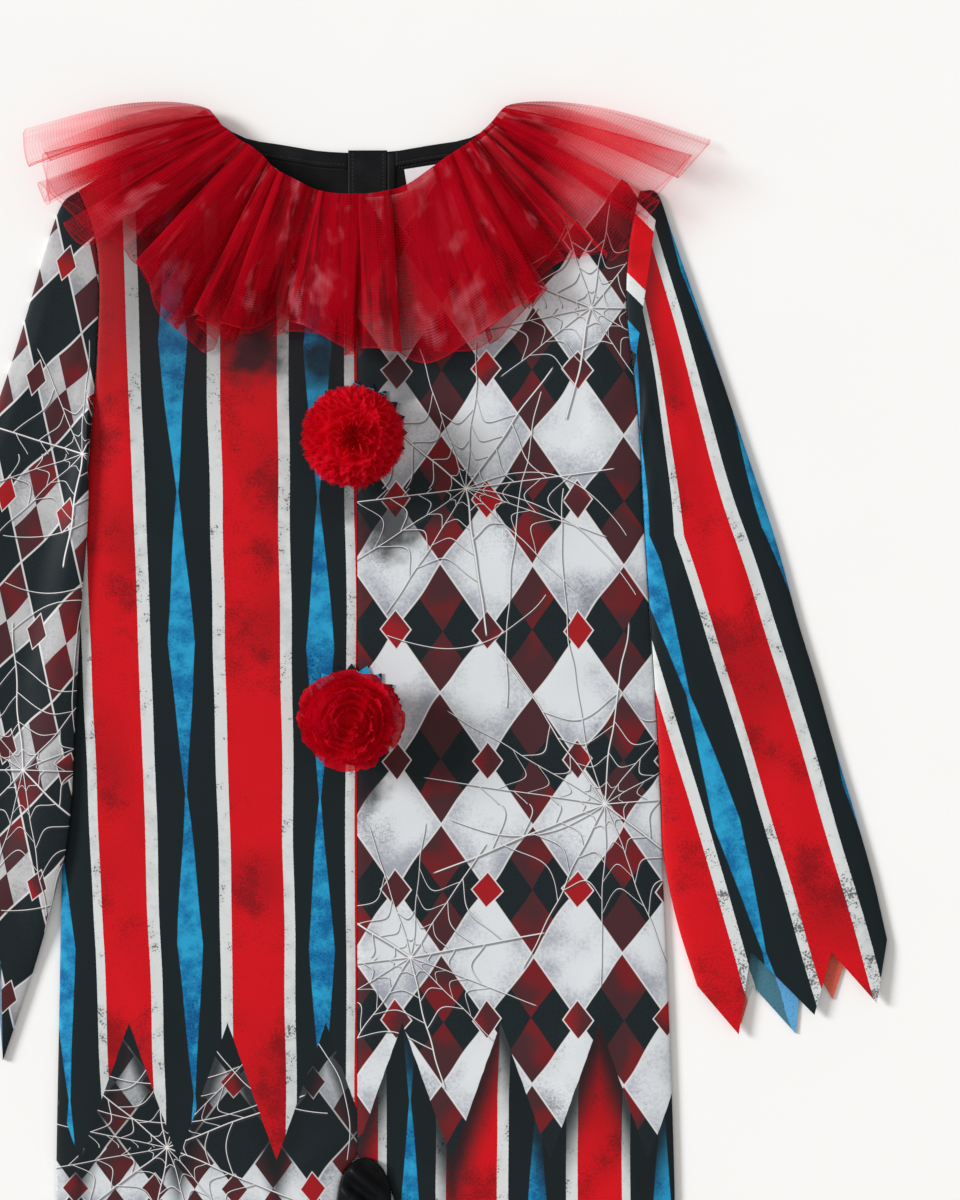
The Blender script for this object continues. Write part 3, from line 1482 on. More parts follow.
@dataclass
class Sleeve:
    """One sleeve: a flattened tube from the armhole to a dagged hem, open at both ends.

    Attributes:
        reverse: The inner face.
        puff: How far its front stands clear of its back.
        head_round: Length of the rounded top.
        fold_round: Width of the rounded edges.
        armhole_reach: How far down it follows the armhole, as a share of the length.
        hem_start: Where the dags begin.
        hem_lean: How far the dags lean outwards.
        ride_up: How high its inner strip rides over the body's edge.
        ride_full: Share of the width that rides fully.
        ride_end: Share of the width at which it lies on the floor again.
        finer: Mesh columns to a line of the tube.
    """

    side: Side
    table: Table
    front_dags: Table
    back_dags: Table
    cloth: Material
    reverse: Material
    slot: str
    under: str
    width: float = 120
    length: float = 430
    puff: float = 2.6
    head_round: float = 60
    fold_round: float = 16
    armhole_reach: float = 0.25
    hem_start: float = 0.8
    hem_lean: float = 0.17
    ride_up: float = 5.2
    ride_full: float = 0.12
    ride_end: float = 0.36
    finer: int = 4

    def share(self, column: float, along: float) -> tuple[float, bool]:
        """Gives how far across a line of the tube lies, and whether it is on the front.

        Args:
            column: Place round the tube: over the front from the inner fold, and back under it.
            along: Share of the way to the hem.

        Returns:
            The share of the width, and True on the front.
        """
        outer = len(ARMHOLE_SHARES) + 1
        front = column <= outer
        index = column if front else 2 * outer - column
        start = self._between((0, *ARMHOLE_SHARES, 1), index)
        hem = FRONT_HEM_SHARES if front else BACK_HEM_SHARES
        end = self._between((0, *hem, 1), index)
        return start + (end - start) * ease(along / self.hem_start), front

    @staticmethod
    def _between(values: Sequence[float], index: float) -> float:
        """Reads a list between two of its places, on straight lines."""
        low = min(int(index), len(values) - 2)
        return values[low] + (values[low + 1] - values[low]) * (index - low)

    def ride(self, across: float, along: float) -> float:
        """Gives the lift of the inner strip, where it lies over the body's edge.

        Args:
            across: Share of the width.
            along: Share of the way to the hem.

        Returns:
            The lift.
        """
        if self.side is Side.LEFT:
            return 0
        down = ease(along / 0.05) * (1 - ease((along - 0.8) / 0.12))
        past = (across - self.ride_full) / (self.ride_end - self.ride_full)
        return self.ride_up * down * (1 - ease(past))

    def place(self, across: float, along: float, dags: Table) -> Pair:
        """Gives a point of the sleeve as it lies.

        Args:
            across: Share of the width.
            along: Share of the way to the hem.
            dags: The dags of its face.

        Returns:
            The distance from the centre and the y.
        """
        inner_y = reading(self.table, along, 2)
        inner = side_x(self.side, inner_y) + reading(self.table, along, 1)
        outer, outer_y = reading(self.table, along, 3), reading(self.table, along, 4)
        x = inner + (outer - inner) * across
        y = inner_y + (outer_y - inner_y) * across
        seam_y = UNDERARM_Y + (SHOULDER_TIP_Y - UNDERARM_Y) * across
        low, high = side_x(self.side, UNDERARM_Y), side_x(self.side, SHOULDER_TIP_Y)
        dip = side_x(self.side, seam_y) - low - (high - low) * across
        x += dip * (1 - ease(along / self.armhole_reach))
        drop = straight(dags, across) * max(along - self.hem_start, 0) / (1 - self.hem_start)
        return x + self.hem_lean * drop, y - drop

    def surface(self, column: float, along: float, inset: float) -> Point:
        """Gives a point of the tube's outer face, or of its inner face.

        Args:
            column: Place round the tube.
            along: Share of the way to the hem.
            inset: 0 for the outer face and 1 for the inner one.

        Returns:
            The point.
        """
        across, front = self.share(column, along)
        on_fold = across in (0, 1)
        if on_fold:
            across += inset * WALL / self.width * (1 - 2 * across)
        x, y = self.place(across, along, self.front_dags if front else self.back_dags)
        base = self.ride(across, along)
        sign = self.side.value
        if on_fold:
            return sign * x, y, base + WALL + SEAM / 2
        if not front:
            return sign * x, y, base + inset * WALL
        to_fold = min(across, 1 - across) * self.width
        puff = self.puff * rounded(along * self.length, self.head_round)
        puff *= rounded(to_fold, self.fold_round)
        folds = sum(ridge(fold, across, along, (self.width, self.length)) for fold in SLEEVE_FOLDS)
        folds += 0.3 * ripple(x, y, 55, 3) + 0.1 * ripple(x, y, 15, 9)
        folds *= ease(to_fold / self.fold_round) * ease(along / 0.06)
        return sign * x, y, base + WALL + SEAM + puff + folds + (1 - inset) * WALL

    def build(self, name: str) -> Object:
        """Args:
            name: The name of the CAD node that it stands for.

        Returns:
            The object.
        """
        outer = len(ARMHOLE_SHARES) + 1
        near = [step / self.finer for step in range(2 * outer * self.finer + 1)]
        fine = {0.12, 0.25, 0.5, outer - 0.12, outer + 0.12, 2 * outer - 0.12}
        rows = edge_shares(self.length, 4.6)
        bm = laid_grid(sorted({*near, *fine}), rows, lambda column, row: self.surface(column, row, 0))
        bmesh.ops.remove_doubles(bm, verts=bm.verts[:], dist=0.001)
        key = bm.verts.layers.float_vector["key"]
        bmesh.ops.recalc_face_normals(bm, faces=bm.faces[:])
        made = bmesh.ops.extrude_face_region(bm, geom=bm.faces[:])
        for vert in moved(made):
            vert.co = self.surface(vert[key][0], vert[key][1], 1)
        for part in made["geom"]:
            if isinstance(part, BMFace):
                part.material_index = 1
        bmesh.ops.recalc_face_normals(bm, faces=bm.faces[:])
        piece = finished(name + "_cloth", bm, [self.cloth, self.reverse])
        cloth = {"flat": (0.27, 0.43), "held": "laid", "area": 0.09}
        return declared(piece, self.slot, name, rests_on=[self.under], **cloth)


# Ruff -----------------------------------------------------

# Ruff, a row for each station around the neckline: x and y at the neckline, at the
# upper layer's edge and at the under layer's edge.
RUFF: Table = (
    (-97, 571.5, -211, 560.5, -203, 547), (-92.5, 565.5, -207, 534, -199.5, 518),
    (-88, 559.8, -190, 508, -188, 506), (-82, 554.8, -172, 487, -171, 490),
    (-76.5, 551, -150, 492, -152, 497), (-70, 547, -134, 473, -132, 473),
    (-62, 540.5, -121, 449, -124, 446), (-54, 532, -97, 434, -97, 426), (-41, 525, -70, 421, -68, 418),
    (-24, 518, -40, 436, -42, 431), (-5, 515.5, -8, 424, -8, 428), (14, 516.5, 20, 418, 20, 414),
    (32, 521, 47, 411, 50, 416), (47, 531, 74, 426, 79, 419), (59, 539.5, 97, 443, 99, 443),
    (69, 546, 118, 459, 118, 463), (77, 552, 139, 474, 140, 474), (84, 558, 162, 486, 162, 481),
    (89.5, 563.5, 184, 509, 178, 494), (94, 569, 203, 527, 195, 517),
    (98.5, 573.5, 225.5, 553.5, 213, 543),
)


@dataclass
class Pleat:
    """One irregular pleat of the ruff.

    Attributes:
        start: Where it begins, as a share of the strip.
        width: Its share of the strip.
        height: Its height, as a share of the usual one.
        tilt: How far its crest falls to one side, in widths.
        reach: How much further out or in its edge hangs, as a share.
        slant: How much further out one side of its edge hangs than the other.
    """

    start: float
    width: float
    height: float
    tilt: float
    reach: float
    slant: float


@dataclass
class RuffLayer:
    """One net strip, gathered along the neckline and fanning out in uneven pleats.

    Attributes:
        edge: Column of its edge in the ruff's table.
        rest: Height of its lowest net over the floor.
        lift: How much higher it lies at the edge than at the neck.
        droop: How far its ends hang lower, past the shoulders.
        strip: Length of the strip before it was gathered.
        ends: Where along the strip, from the middle, its flat ends begin.
        bow: How far the ends bow upwards.
        neck_wave: Height of the pleats at the neckline.
        edge_wave: Height of the pleats at the edge.
        gathers: How many small gathers a pleat has at the neckline.
        steps: Columns in a pleat.
    """

    name: str
    net: Material
    edge: int
    count: int
    seed: float
    rest: float
    lift: float
    droop: float = 9.5
    strip: float = 1100
    depth: float = 100
    ends: float = 0.78
    bow: float = 9
    neck_wave: float = 1.6
    edge_wave: float = 6.2
    gathers: float = 4
    steps: int = 26
    rows: int = 30

    def pleats(self) -> list[Pleat]:
        """Sets out the pleats, whose sizes wander but are the same at each run.

        Returns:
            The pleats in order.
        """
        raw = []
        for index in range(self.count):
            side = -1 if index * 2 < self.count else 1
            width = 1 + 1.5 * ripple(index * 0.83, self.seed, 1)
            height = 1 + 1.1 * ripple(index * 1.37, self.seed, 1, 7)
            tilt = 0.9 * ripple(index * 1.91, self.seed, 1, 13)
            raw.append((width, height, tilt + (0.6 if index % 4 else -0.4) * side))
        total = sum(width for width, _, _ in raw)
        made, start = [], 0
        for index, (width, height, tilt) in enumerate(raw):
            reach = 0.05 * math.sin(2.3 * index + self.seed) + 0.035 * math.sin(5.1 * index)
            slant = 0.16 * math.sin(3.7 * index + 2 * self.seed)
            made.append(Pleat(start, width / total, height, tilt, reach, slant))
            start += width / total
        return made

    @staticmethod
    def hem(before: Pleat, pleat: Pleat, after: Pleat, part: float) -> float:
        """Gives how far out the edge hangs at a part of a pleat, turning sharply between pleats.

        Args:
            before: The pleat before.
            pleat: The pleat.
            after: The pleat after it.
            part: Share of the pleat's width.

        Returns:
            The edge's reach, as a share of the strip's depth.
        """
        here = pleat.reach + pleat.slant * (part - 0.5)
        if part < 0.12:
            start = (before.reach + before.slant / 2 + pleat.reach - pleat.slant / 2) / 2
            return start + (here - start) * ease(part / 0.12)
        if part > 0.88:
            end = (pleat.reach + pleat.slant / 2 + after.reach - after.slant / 2) / 2
            return end + (here - end) * ease((1 - part) / 0.12)
        return here

    def build(self) -> Object:
        """Builds the strip.

        Returns:
            The object.
        """
        pleats = self.pleats()
        columns = [i / self.steps for i in range(self.count * self.steps + 1)]

        def place(column: float, row: float) -> Point:
            """Places a point of the strip.

            Args:
                column: Pleats from its start.
                row: Share of its depth.

            Returns:
                The point.
            """
            index = min(int(column), self.count - 1)
            pleat = pleats[index]
            before, after = pleats[max(index - 1, 0)], pleats[min(index + 1, self.count - 1)]
            part = column - index
            phase = math.tau * part
            crest = 0.5 - 0.5 * math.cos(phase)
            open_out = ease(row * 1.15)
            end = ease((abs(2 * column / self.count - 1) - self.ends) / (1 - self.ends))
            slack = (1.25 - 0.4 * open_out) * (1 - 0.45 * end)
            lean = pleat.tilt * crest * (1 - 0.5 * end) - slack * math.sin(phase) * crest / math.pi
            share = pleat.start + pleat.width * (part + lean)
            share = min(max(share, 0), 1)
            neck_x, neck_y = station(RUFF, share, 0)
            edge_x, edge_y = station(RUFF, share, self.edge)
            wobble = 0.01 * ripple(column * 3, 0, 1, self.seed)
            hem = self.hem(before, pleat, after, part) * (1 - 0.6 * end)
            reach = row * (1 + (hem + wobble) * row) - 0.03 * (1 - row)
            x = neck_x + (edge_x - neck_x) * reach
            y = neck_y + (edge_y - neck_y) * reach
            y += self.bow * end * math.sin(math.pi * row**0.75)
            amplitude = self.neck_wave + (self.edge_wave - self.neck_wave) * ease(row * 1.1)
            height = amplitude * pleat.height * crest * (1 - 0.25 * end)
            tuck = 3 * ripple(column, row, 2, self.seed)
            gather = 0.5 + 0.5 * math.sin(math.tau * self.gathers * column + tuck)
            fade = 1 - ease(row / (0.42 + 0.35 * abs(pleat.tilt)))
            height += 1.6 * gather * fade * (1 - end)
            height += 0.8 * ripple(x, y, 17, self.seed) * ease(row * 3)
            droop = self.droop * end * ease((row - 0.5) / 0.5)
            return x, y, self.rest + self.lift * ease(row) + height - droop

        bm = laid_grid(columns, shares(self.rows), place, (self.strip / self.count, self.depth))
        every_way = {"use_axis_x": True, "use_axis_y": True, "use_axis_z": True}
        bmesh.ops.smooth_vert(bm, verts=bm.verts[:], factor=0.3, **every_way)
        return finished(self.name, bm, [self.net])


@dataclass
class Ruff:
    """The clown's ruff: an upper and an under layer of red net."""

    flat_depth: float = 0.1

    def build(self) -> list[Object]:
        """Returns:
            The layers.
        """
        look = {"hollow": 0.86, "sheer": 0.26}
        upper_net = RedNet("red_net_upper", **look).make()
        under_net = RedNet("red_net_under", cover=0.6, thin=0.4, pleat=73.3, **look).make()
        under_sizes, upper_sizes = (4, 15, 3.7, 6.9, 0.6), (2, 17, 8.2, 10.6, 3.2)
        under = RuffLayer("ruff_under_net", under_net, *under_sizes, droop=5, edge_wave=5.8).build()
        upper = RuffLayer("ruff_upper_net", upper_net, *upper_sizes, neck_wave=1.7, edge_wave=9).build()
        for piece, rests in ((under, FRONT_NODES), (upper, [under])):
            cut = (0.75, self.flat_depth)
            declared(piece, "red_net", piece.name[:-4], flat=cut, held="gathered", rests_on=rests)
        return [under, upper]


# Pompoms --------------------------------------------------


@dataclass
class Pompom:
    """A net ball on the centre front, wound from one gathered strip round a core.

    Attributes:
        seat: Height of its flat underside.
        core: The core's material.
    """

    x: float
    y: float
    half_width: float
    height: float
    seat: float
    net: Material
    core: Material
    seed: float = 0

    def core_ball(self, bm: BMesh, share: float) -> None:
        """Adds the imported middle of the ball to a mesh.

        Args:
            bm: The mesh.
            share: Its size, as a share of the ball.
        """
        made = bmesh.ops.create_uvsphere(bm, u_segments=36, v_segments=20, radius=1)
        middle = self.height * 0.44
        size = Vector((self.half_width, self.half_width, middle))
        for vert in made["verts"]:
            rough = 1 + 0.1 * noise.noise(vert.co * 3.1)
            vert.co = vert.co * size * share * rough + Vector((self.x, self.y, self.seat + middle))
            vert.co.z = max(vert.co.z, self.seat)
        for face in {face for vert in made["verts"] for face in vert.link_faces}:
            face.material_index = 1

    def wound(
        self,
        name: str,
        place: Callable[[float, float], Point],
        bands: int,
        strip: Pair,
        packed: float,
    ) -> Object:
        """Winds the strip round the core.

        Args:
            name: The object's name.
            place: Gives a point of the strip for a turn and a share of its depth.
            bands: Mesh rows over its depth.
            strip: Length of a turn, and the strip's depth.
            packed: Size of the core.

        Returns:
            The object.
        """
        columns = [i / self.steps for i in range(int(self.turns * self.steps) + 1)]
        bm = laid_grid(columns, shares(bands), place, strip)
        self.core_ball(bm, packed)
        return finished(name, bm, [self.net, self.core])

    def put(self, ball: Vector) -> Point:
        """Moves a point of a ball of radius 1 to its place on the costume.

        Args:
            ball: The point.

        Returns:
            Its place.
        """
        crest = self.height * 0.56
        low = self.height - crest
        height = ball.z * (crest if ball.z > 0 else low)
        height = max(height, -low)
        x, y = self.x + ball.x * self.half_width, self.y + ball.y * self.half_width
        return x, y, self.seat + low + height


@dataclass
class BunchedPompom(Pompom):
    """A ball of frills that stand out all round.

    Attributes:
        turns: How often the strip goes round.
        frills: Frills to a turn at the ball's widest.
    """

    turns: float = 15
    steps: int = 288
    frills: float = 41

    def build(self, name: str) -> Object:
        """Builds the ball.

        Args:
            name: The object's name.

        Returns:
            The object.
        """

        def place(turn: float, row: float) -> Point:
            """Places a point of the strip.

            Args:
                turn: Turns from its start.
                row: Share of its depth.

            Returns:
                The point.
            """
            share = turn / self.turns
            tilt = math.radians(112 - 107 * share**0.92)
            ring = math.sin(tilt)
            frill = math.tau * turn * (self.frills * (0.35 + 0.65 * abs(ring)) + 0.37)
            wild = ripple(turn * 5, self.seed, 1, row)
            spread = math.radians(4.6) * ease(row * 1.2)
            tilt += spread * math.sin(frill) * (1 + 0.6 * wild)
            around = math.tau * turn + 0.045 * math.cos(frill * 0.5 + 3 * wild) * row / max(ring, 0.3)
            jag = 0.1 * ripple(turn * 83, self.seed, 1, 3)
            pinch = 0.08 * math.exp(-((turn - self.turns) ** 2) / 1.4)
            far = 0.7 + (0.28 + jag + 0.03 * wild - pinch) * row
            x, y = math.sin(tilt) * math.cos(around), math.sin(tilt) * math.sin(around)
            return self.put(Vector((x, y, math.cos(tilt))) * far)

        return self.wound(name, place, 6, (130, 16), 0.84)


@dataclass
class RolledPompom(Pompom):
    """A rosette: a strip rolled up on itself, whose edge opens like petals.

    Attributes:
        turns: How often the strip goes round.
    """

    turns: float = 7.2
    steps: int = 240

    def build(self, name: str) -> Object:
        """Builds the rosette.

        Args:
            name: The object's name.

        Returns:
            The object.
        """

        def place(turn: float, row: float) -> Point:
            """Places a point of the strip.

            Args:
                turn: Turns from its start.
                row: Share of its depth.

            Returns:
                The point.
            """
            share = turn / self.turns
            around = -math.tau * turn + 0.7
            wave = math.sin(math.tau * turn * 2.63 + self.seed)
            ruffle = math.sin(math.tau * turn * 9.7 + 2 * wave)
            wild = ripple(turn * 4, self.seed, 1)
            fray = ripple(turn * 70, self.seed, 1, 5) * row**3
            base = 0.06 + 0.74 * share**0.9
            open_out = (0.06 + 0.17 * share) * ease(row)
            far = base + open_out + (0.035 * wave + 0.02 * wild) * row
            far += 0.022 * ruffle * row**2 + 0.05 * fray
            dome = math.sqrt(max(1 - min(far * 0.97, 1) ** 2, 0))
            crest = dome - 0.05 + 0.05 * wave * row + 0.03 * ruffle * row
            crest -= 0.1 * ease((0.18 - far) / 0.18)
            low = crest - 0.42 - 0.25 * share
            rise = ease(row * 0.75 + 0.12) / ease(0.87)
            height = low + 0.07 * fray + (crest - low) * rise - 0.06 * ease((row - 0.72) / 0.28) * share
            point = Vector((far * math.cos(around), far * math.sin(around), height))
            return self.put(point)

        return self.wound(name, place, 9, (110, 22), 0.82)


@dataclass
class PinkedDisc:
    """A small disc of printed cloth with a pinked edge, under a pompom."""

    x: float
    y: float
    seat: float
    cloth: Material
    radius: float = 30.8
    teeth: int = 20
    tooth: float = 2.6

    def build(self, name: str) -> Object:
        """Args:
            name: The name of the CAD node that it stands for.

        Returns:
            The object.
        """
        bm = bmesh.new()
        bmesh.ops.create_circle(bm, cap_ends=True, segments=2 * self.teeth, radius=self.radius)
        for vert in bm.verts:
            turn = math.atan2(vert.co.y, vert.co.x)
            vert.co *= (self.radius + self.tooth * math.cos(self.teeth * turn)) / self.radius
        bmesh.ops.inset_region(bm, faces=bm.faces[:], thickness=6, use_even_offset=False)
        for vert in bm.verts:
            vert.co.z = 0.8 + 0.25 * ripple(vert.co.x, vert.co.y, 9)
        bmesh.ops.recalc_face_normals(bm, faces=bm.faces[:])
        walled(bm, 0.6)
        bmesh.ops.translate(bm, vec=(self.x, self.y, self.seat), verts=bm.verts[:])
        piece = finished(name + "_cloth", bm, [self.cloth])
        cloth = {"flat": (0.07, 0.07), "held": "laid", "area": 0.0033}
        return declared(piece, "disc_cloth", name, rests_on=FRONT_NODES, **cloth)


@dataclass
class Pompoms:
    """Both pompoms with their discs."""

    body: Body
    upper: tuple[float, ...] = (-1.9, 362.2, 33, 50)
    lower: tuple[float, ...] = (-4.5, 181.8, 33.5, 44)
    offset: Pair = (1, 3.5)

    def seat(self, x: float, y: float) -> float:
        """Gives the height of a disc, just clear of the front under it."""
        heights = [self.body.front_height(side, abs(x), y) for side in Side]
        return max(heights) + LAID

    def build(self) -> list[Object]:
        """Builds the two discs and the two balls.

        Returns:
            The four pieces.
        """
        fine = {"cover": 0.88, "row": 1.6, "fold_cover": 0.1}
        look = {"light": (0.76, 0.001, 0.018), "dark": (0.66, 0, 0.01), "glow": 0.46, "gloss": 0.1}
        look |= {"depth": 16, "hem": 3.6, "hem_cover": -0.5, "streaks": 0.2, "fringe": 0.4}
        net = RedNet("red_net_pompom", **fine, **look).make()
        look = {"light": (0.68, 0.001, 0.012), "dark": (0.32, 0, 0.005), "gloss": 0.08}
        look |= {"depth": 22, "hem": 1.8, "hem_cover": -0.3, "streaks": 0.3, "fringe": 0.55}
        rolled = RedNet("red_net_rolled", **fine, **look).make()
        look = {"light": (0.76, 0, 0.012), "dark": (0.56, 0, 0.008)}
        core = RedNet("red_net_core", cover=1.3, **look).make()
        made = []
        for name, (x, y, _, _), slope, blue, radius in (
            ("pompom_disc_upper", self.upper, 3, 0.01, 30.8),
            ("pompom_disc_lower", self.lower, 0.5, 0.4, 30.2),
        ):
            cloth = DiscPrint("disc_cloth_" + name[12:], slope=slope, blue=blue).make()
            place = (x + self.offset[0], y + self.offset[1], self.seat(x, y))
            made.append(PinkedDisc(*place, cloth, radius).build(name))
        for name, maker, sizes, seed, cloth in (
            ("pompom_upper", BunchedPompom, self.upper, 1.3, net),
            ("pompom_lower", RolledPompom, self.lower, 4.1, rolled),
        ):
            seat = self.seat(sizes[0], sizes[1]) + TAPE_WALL + SEAM
            pompom = maker(*sizes, seat, cloth, core, seed).build(name + "_net")
            made.append(declared(pompom, "red_net", name))
        return made


# Back neck ------------------------------------------------


@dataclass
class Stitching:
    """A row of machine stitches along a line, each a small rounded loop of thread.

    Attributes:
        pitch: From one stitch to the next.
        width: Thickness of the thread.
        slant: How far a stitch turns off the line, in degrees.
    """

    name: str
    thread: Material
    pitch: float = 2.5
    length: float = 1.9
    width: float = 0.45
    slant: float = 0

    def build(self, lines: Sequence[Sequence[Point]]) -> Object:
        """Builds stitches along several lines.

        Args:
            lines: The points of each line, close together.

        Returns:
            One object with all of them.
        """
        bm = bmesh.new()
        for line in lines:
            gone, due = 0, self.pitch / 2
            for low, high in zip(line, line[1:]):
                start, end = Vector(low), Vector(high)
                span = (end - start).length
                while due <= gone + span:
                    self._stitch(bm, start.lerp(end, (due - gone) / span), end - start)
                    due += self.pitch
                gone += span
        return declared(finished(self.name, bm, [self.thread]), "black_cloth")

    def _stitch(self, bm: BMesh, middle: Vector, way: Vector) -> None:
        """Adds one stitch.

        Args:
            bm: The mesh.
            middle: Its middle.
            way: The way its line runs.
        """
        turn = Euler((0, 0, math.atan2(way.y, way.x) + math.radians(self.slant)))
        shape = Matrix.LocRotScale(middle, turn, Vector((self.length, self.width, self.width)) / 2)
        bmesh.ops.create_icosphere(bm, subdivisions=1, radius=1, matrix=shape)


@dataclass
class BackNeck:
    """The back neck's facing bands, overlap placket, tab, blank label and stitching.

    Attributes:
        band_end: Where the bands end, from the centre.
        band_taper: Where they start to narrow.
        band_end_width: Their width at the end.
        placket: Where the placket's long edges lie.
        placket_rise: How far the placket stands over the back's edge.
        tab_width: How much of the layer under it shows.
        stitched_in: How far its stitches lie inside its edges.
        narrowest: The least width that counts as a cut.
        label_size: Width and length of the label.
        label_turn: How far the label is turned, in degrees.
    """

    band_width: float = 9.6
    band_end: float = 84
    band_taper: float = 72
    band_end_width: float = 2
    placket: Pair = (-5.8, 19.2)
    placket_rise: float = 1.8
    placket_length: float = 140
    tab_width: float = 4.8
    stitched_in: float = 2.6
    narrowest: float = 10.5
    label_size: Pair = (36, 20)
    label_centre: Pair = (49.5, 527.5)
    label_turn: float = 9

    def sewn(self, name: str, bm: BMesh, material: Material, width: float, length: float) -> Object:
        """Args:
            name: The object's name, which starts with that of its CAD node.
            bm: Its mesh.
            material: Its cloth.
            width: Width of its cut.
            length: Length of its cut.

        Returns:
            The object.
        """
        slot = "label_tape" if name.endswith("_tape") else "black_cloth"
        node = name.rsplit("_", 1)[0]
        flat = (max(width, self.narrowest) * MM, max(length, self.narrowest) * MM)
        area = width * MM * length * MM
        piece = finished(name, bm, [material])
        return declared(piece, slot, node, flat=flat, held="laid", rests_on=BACK_NODES, area=area)

    def crowned(self, across: float, along: float, width: float, length: float) -> float:
        """Gives the height of a folded strip's face, which rounds down to its edges.

        Args:
            across: Share of the width.
            along: Share of the length.
            width: The strip's width.
            length: Its length.

        Returns:
            The height.
        """
        near = min(min(across, 1 - across) * width, min(along, 1 - along) * length)
        return WALL + SEAM + TAPE_WALL - 0.45 * (1 - rounded(near, 1.1))

    def band(self, name: str, side: Side, start: float, black: Material) -> Object:
        """Builds the facing band along one side of the back neckline.

        Args:
            name: The CAD node that it stands for.
            side: Which side.
            start: Where it starts, from the centre.
            black: Its cloth.

        Returns:
            The object.
        """
        length = self.band_end - start

        def place(column: float, row: float) -> Point:
            """Places a point of the band.

            Args:
                column: Share of its length.
                row: Share of its width.

            Returns:
                The point.
            """
            x = start + length * column
            taper = 1 - ease((x - self.band_taper) / (self.band_end - self.band_taper))
            width = self.band_end_width + (self.band_width - self.band_end_width) * taper
            y = top_y(side, x, Panel.BACK) - SEAM - width * (1 - row)
            stitched = -0.28 * math.exp(-(((row - 0.24) * width / 0.7) ** 2))
            return side.value * x, y, self.crowned(column, row, length, width) + stitched

        bm = laid_grid(shares(70), shares(16), place)
        walled(bm, 0.55, side)
        return self.sewn(name + "_cloth", bm, black, length * 1.05, self.band_width)

    def strip(self, name: str, x: Pair, y: Pair, black: Material) -> Object:
        """Builds an upright folded strip: the placket, or the tab beside it.

        Args:
            name: The CAD node that it stands for.
            x: Where its long edges lie.
            y: Where its ends lie.
            black: Its cloth.

        Returns:
            The object.
        """
        width, length = x[1] - x[0], y[1] - y[0]

        def place(column: float, row: float) -> Point:
            """Places a point of the strip.

            Args:
                column: Share of its width.
                row: Share of its length.

            Returns:
                The point.
            """
            height = self.crowned(column, row, width, length)
            height += 0.1 * ripple(column * width, row * length, 5, 2)
            if width > 10:
                edge = min(column, 1 - column) * width
                height -= 0.25 * math.exp(-(((edge - self.stitched_in) / 0.6) ** 2))
            return x[0] + width * column, y[0] + length * row, height

        bm = laid_grid(shares(max(int(width / 0.6), 8)), shares(110), place)
        walled(bm, 0.5)
        return self.sewn(name + "_cloth", bm, black, width, length)

    def label(self, tape: Material) -> Object:
        """Builds the blank label, turned a little, with a slight curl.

        Args:
            tape: Its cloth.

        Returns:
            The object.
        """
        width, length = self.label_size
        turn = math.radians(self.label_turn)

        def place(column: float, row: float) -> Point:
            """Places a point of the label.

            Args:
                column: Share of its width.
                row: Share of its length.

            Returns:
                The point.
            """
            across, along = (column - 0.5) * width, (row - 0.5) * length
            x = self.label_centre[0] + across * math.cos(turn) - along * math.sin(turn)
            y = self.label_centre[1] + across * math.sin(turn) + along * math.cos(turn)
            curl = 0.25 * abs(2 * column - 1) ** 3 + 0.1 * ripple(across, along, 8)
            return x, y, WALL + SEAM + 0.75 + curl

        bm = laid_grid(shares(36), shares(20), place)
        walled(bm, 0.35)
        return self.sewn("neck_label_tape", bm, tape, width, length)

    def seam_line(self, side: Side, start: float, drop: float, level: float) -> list[Point]:
        """Gives the points of a row of stitches along one side of the back neckline.

        Args:
            side: Which side.
            start: Where the row starts, from the centre.
            drop: How far it lies below the band's upper edge.
            level: Its height.

        Returns:
            The points.
        """
        places = [start + (self.band_taper - start) * share for share in shares(60)]
        return [(side.value * x, top_y(side, x, Panel.BACK) - SEAM - drop, level) for x in places]

    def build(self) -> list[Object]:
        """Builds every piece of the back neck.

        Returns:
            The pieces.
        """
        facing = BlackKnit("black_cloth_facing", colour=(0.0065, 0.007, 0.008)).make()
        thread = Thread("black_thread", (0.018, 0.018, 0.02)).make()
        low, high = self.placket
        top = top_y(Side.LEFT, 0, Panel.BACK) + self.placket_rise
        end = top - self.placket_length
        tab = high + SEAM
        face = WALL + SEAM + TAPE_WALL
        starts = ((Side.LEFT, tab + self.tab_width + 2), (Side.RIGHT, 2 - low))
        inner, outer = (self.band_width * 0.76, face - 0.2), (self.band_width + 0.9, WALL + 0.15)
        lines = [self.seam_line(side, start, *inner) for side, start in starts]
        for x in (low + self.stitched_in, high - self.stitched_in):
            lines.append([(x, end + 3 + i, face - 0.15) for i in range(int(self.placket_length) - 5)])
        loops = [self.seam_line(side, start, *outer) for side, start in starts]
        beside = (tab, tab + self.tab_width)
        return [
            self.band("neck_band_left", Side.LEFT, tab + self.tab_width + SEAM, facing),
            self.band("neck_band_right", Side.RIGHT, SEAM - low, facing),
            self.strip("placket_upper", (low, high), (end, top), facing),
            self.strip("placket_under", beside, (end, top - self.placket_rise), facing),
            self.label(LabelTape().make()),
            Stitching("neck_stitches", thread).build(lines),
            Stitching("neck_overlock", thread, 1.7, 2, 0.4, 58).build(loops),
        ]


# Between the legs -----------------------------------------


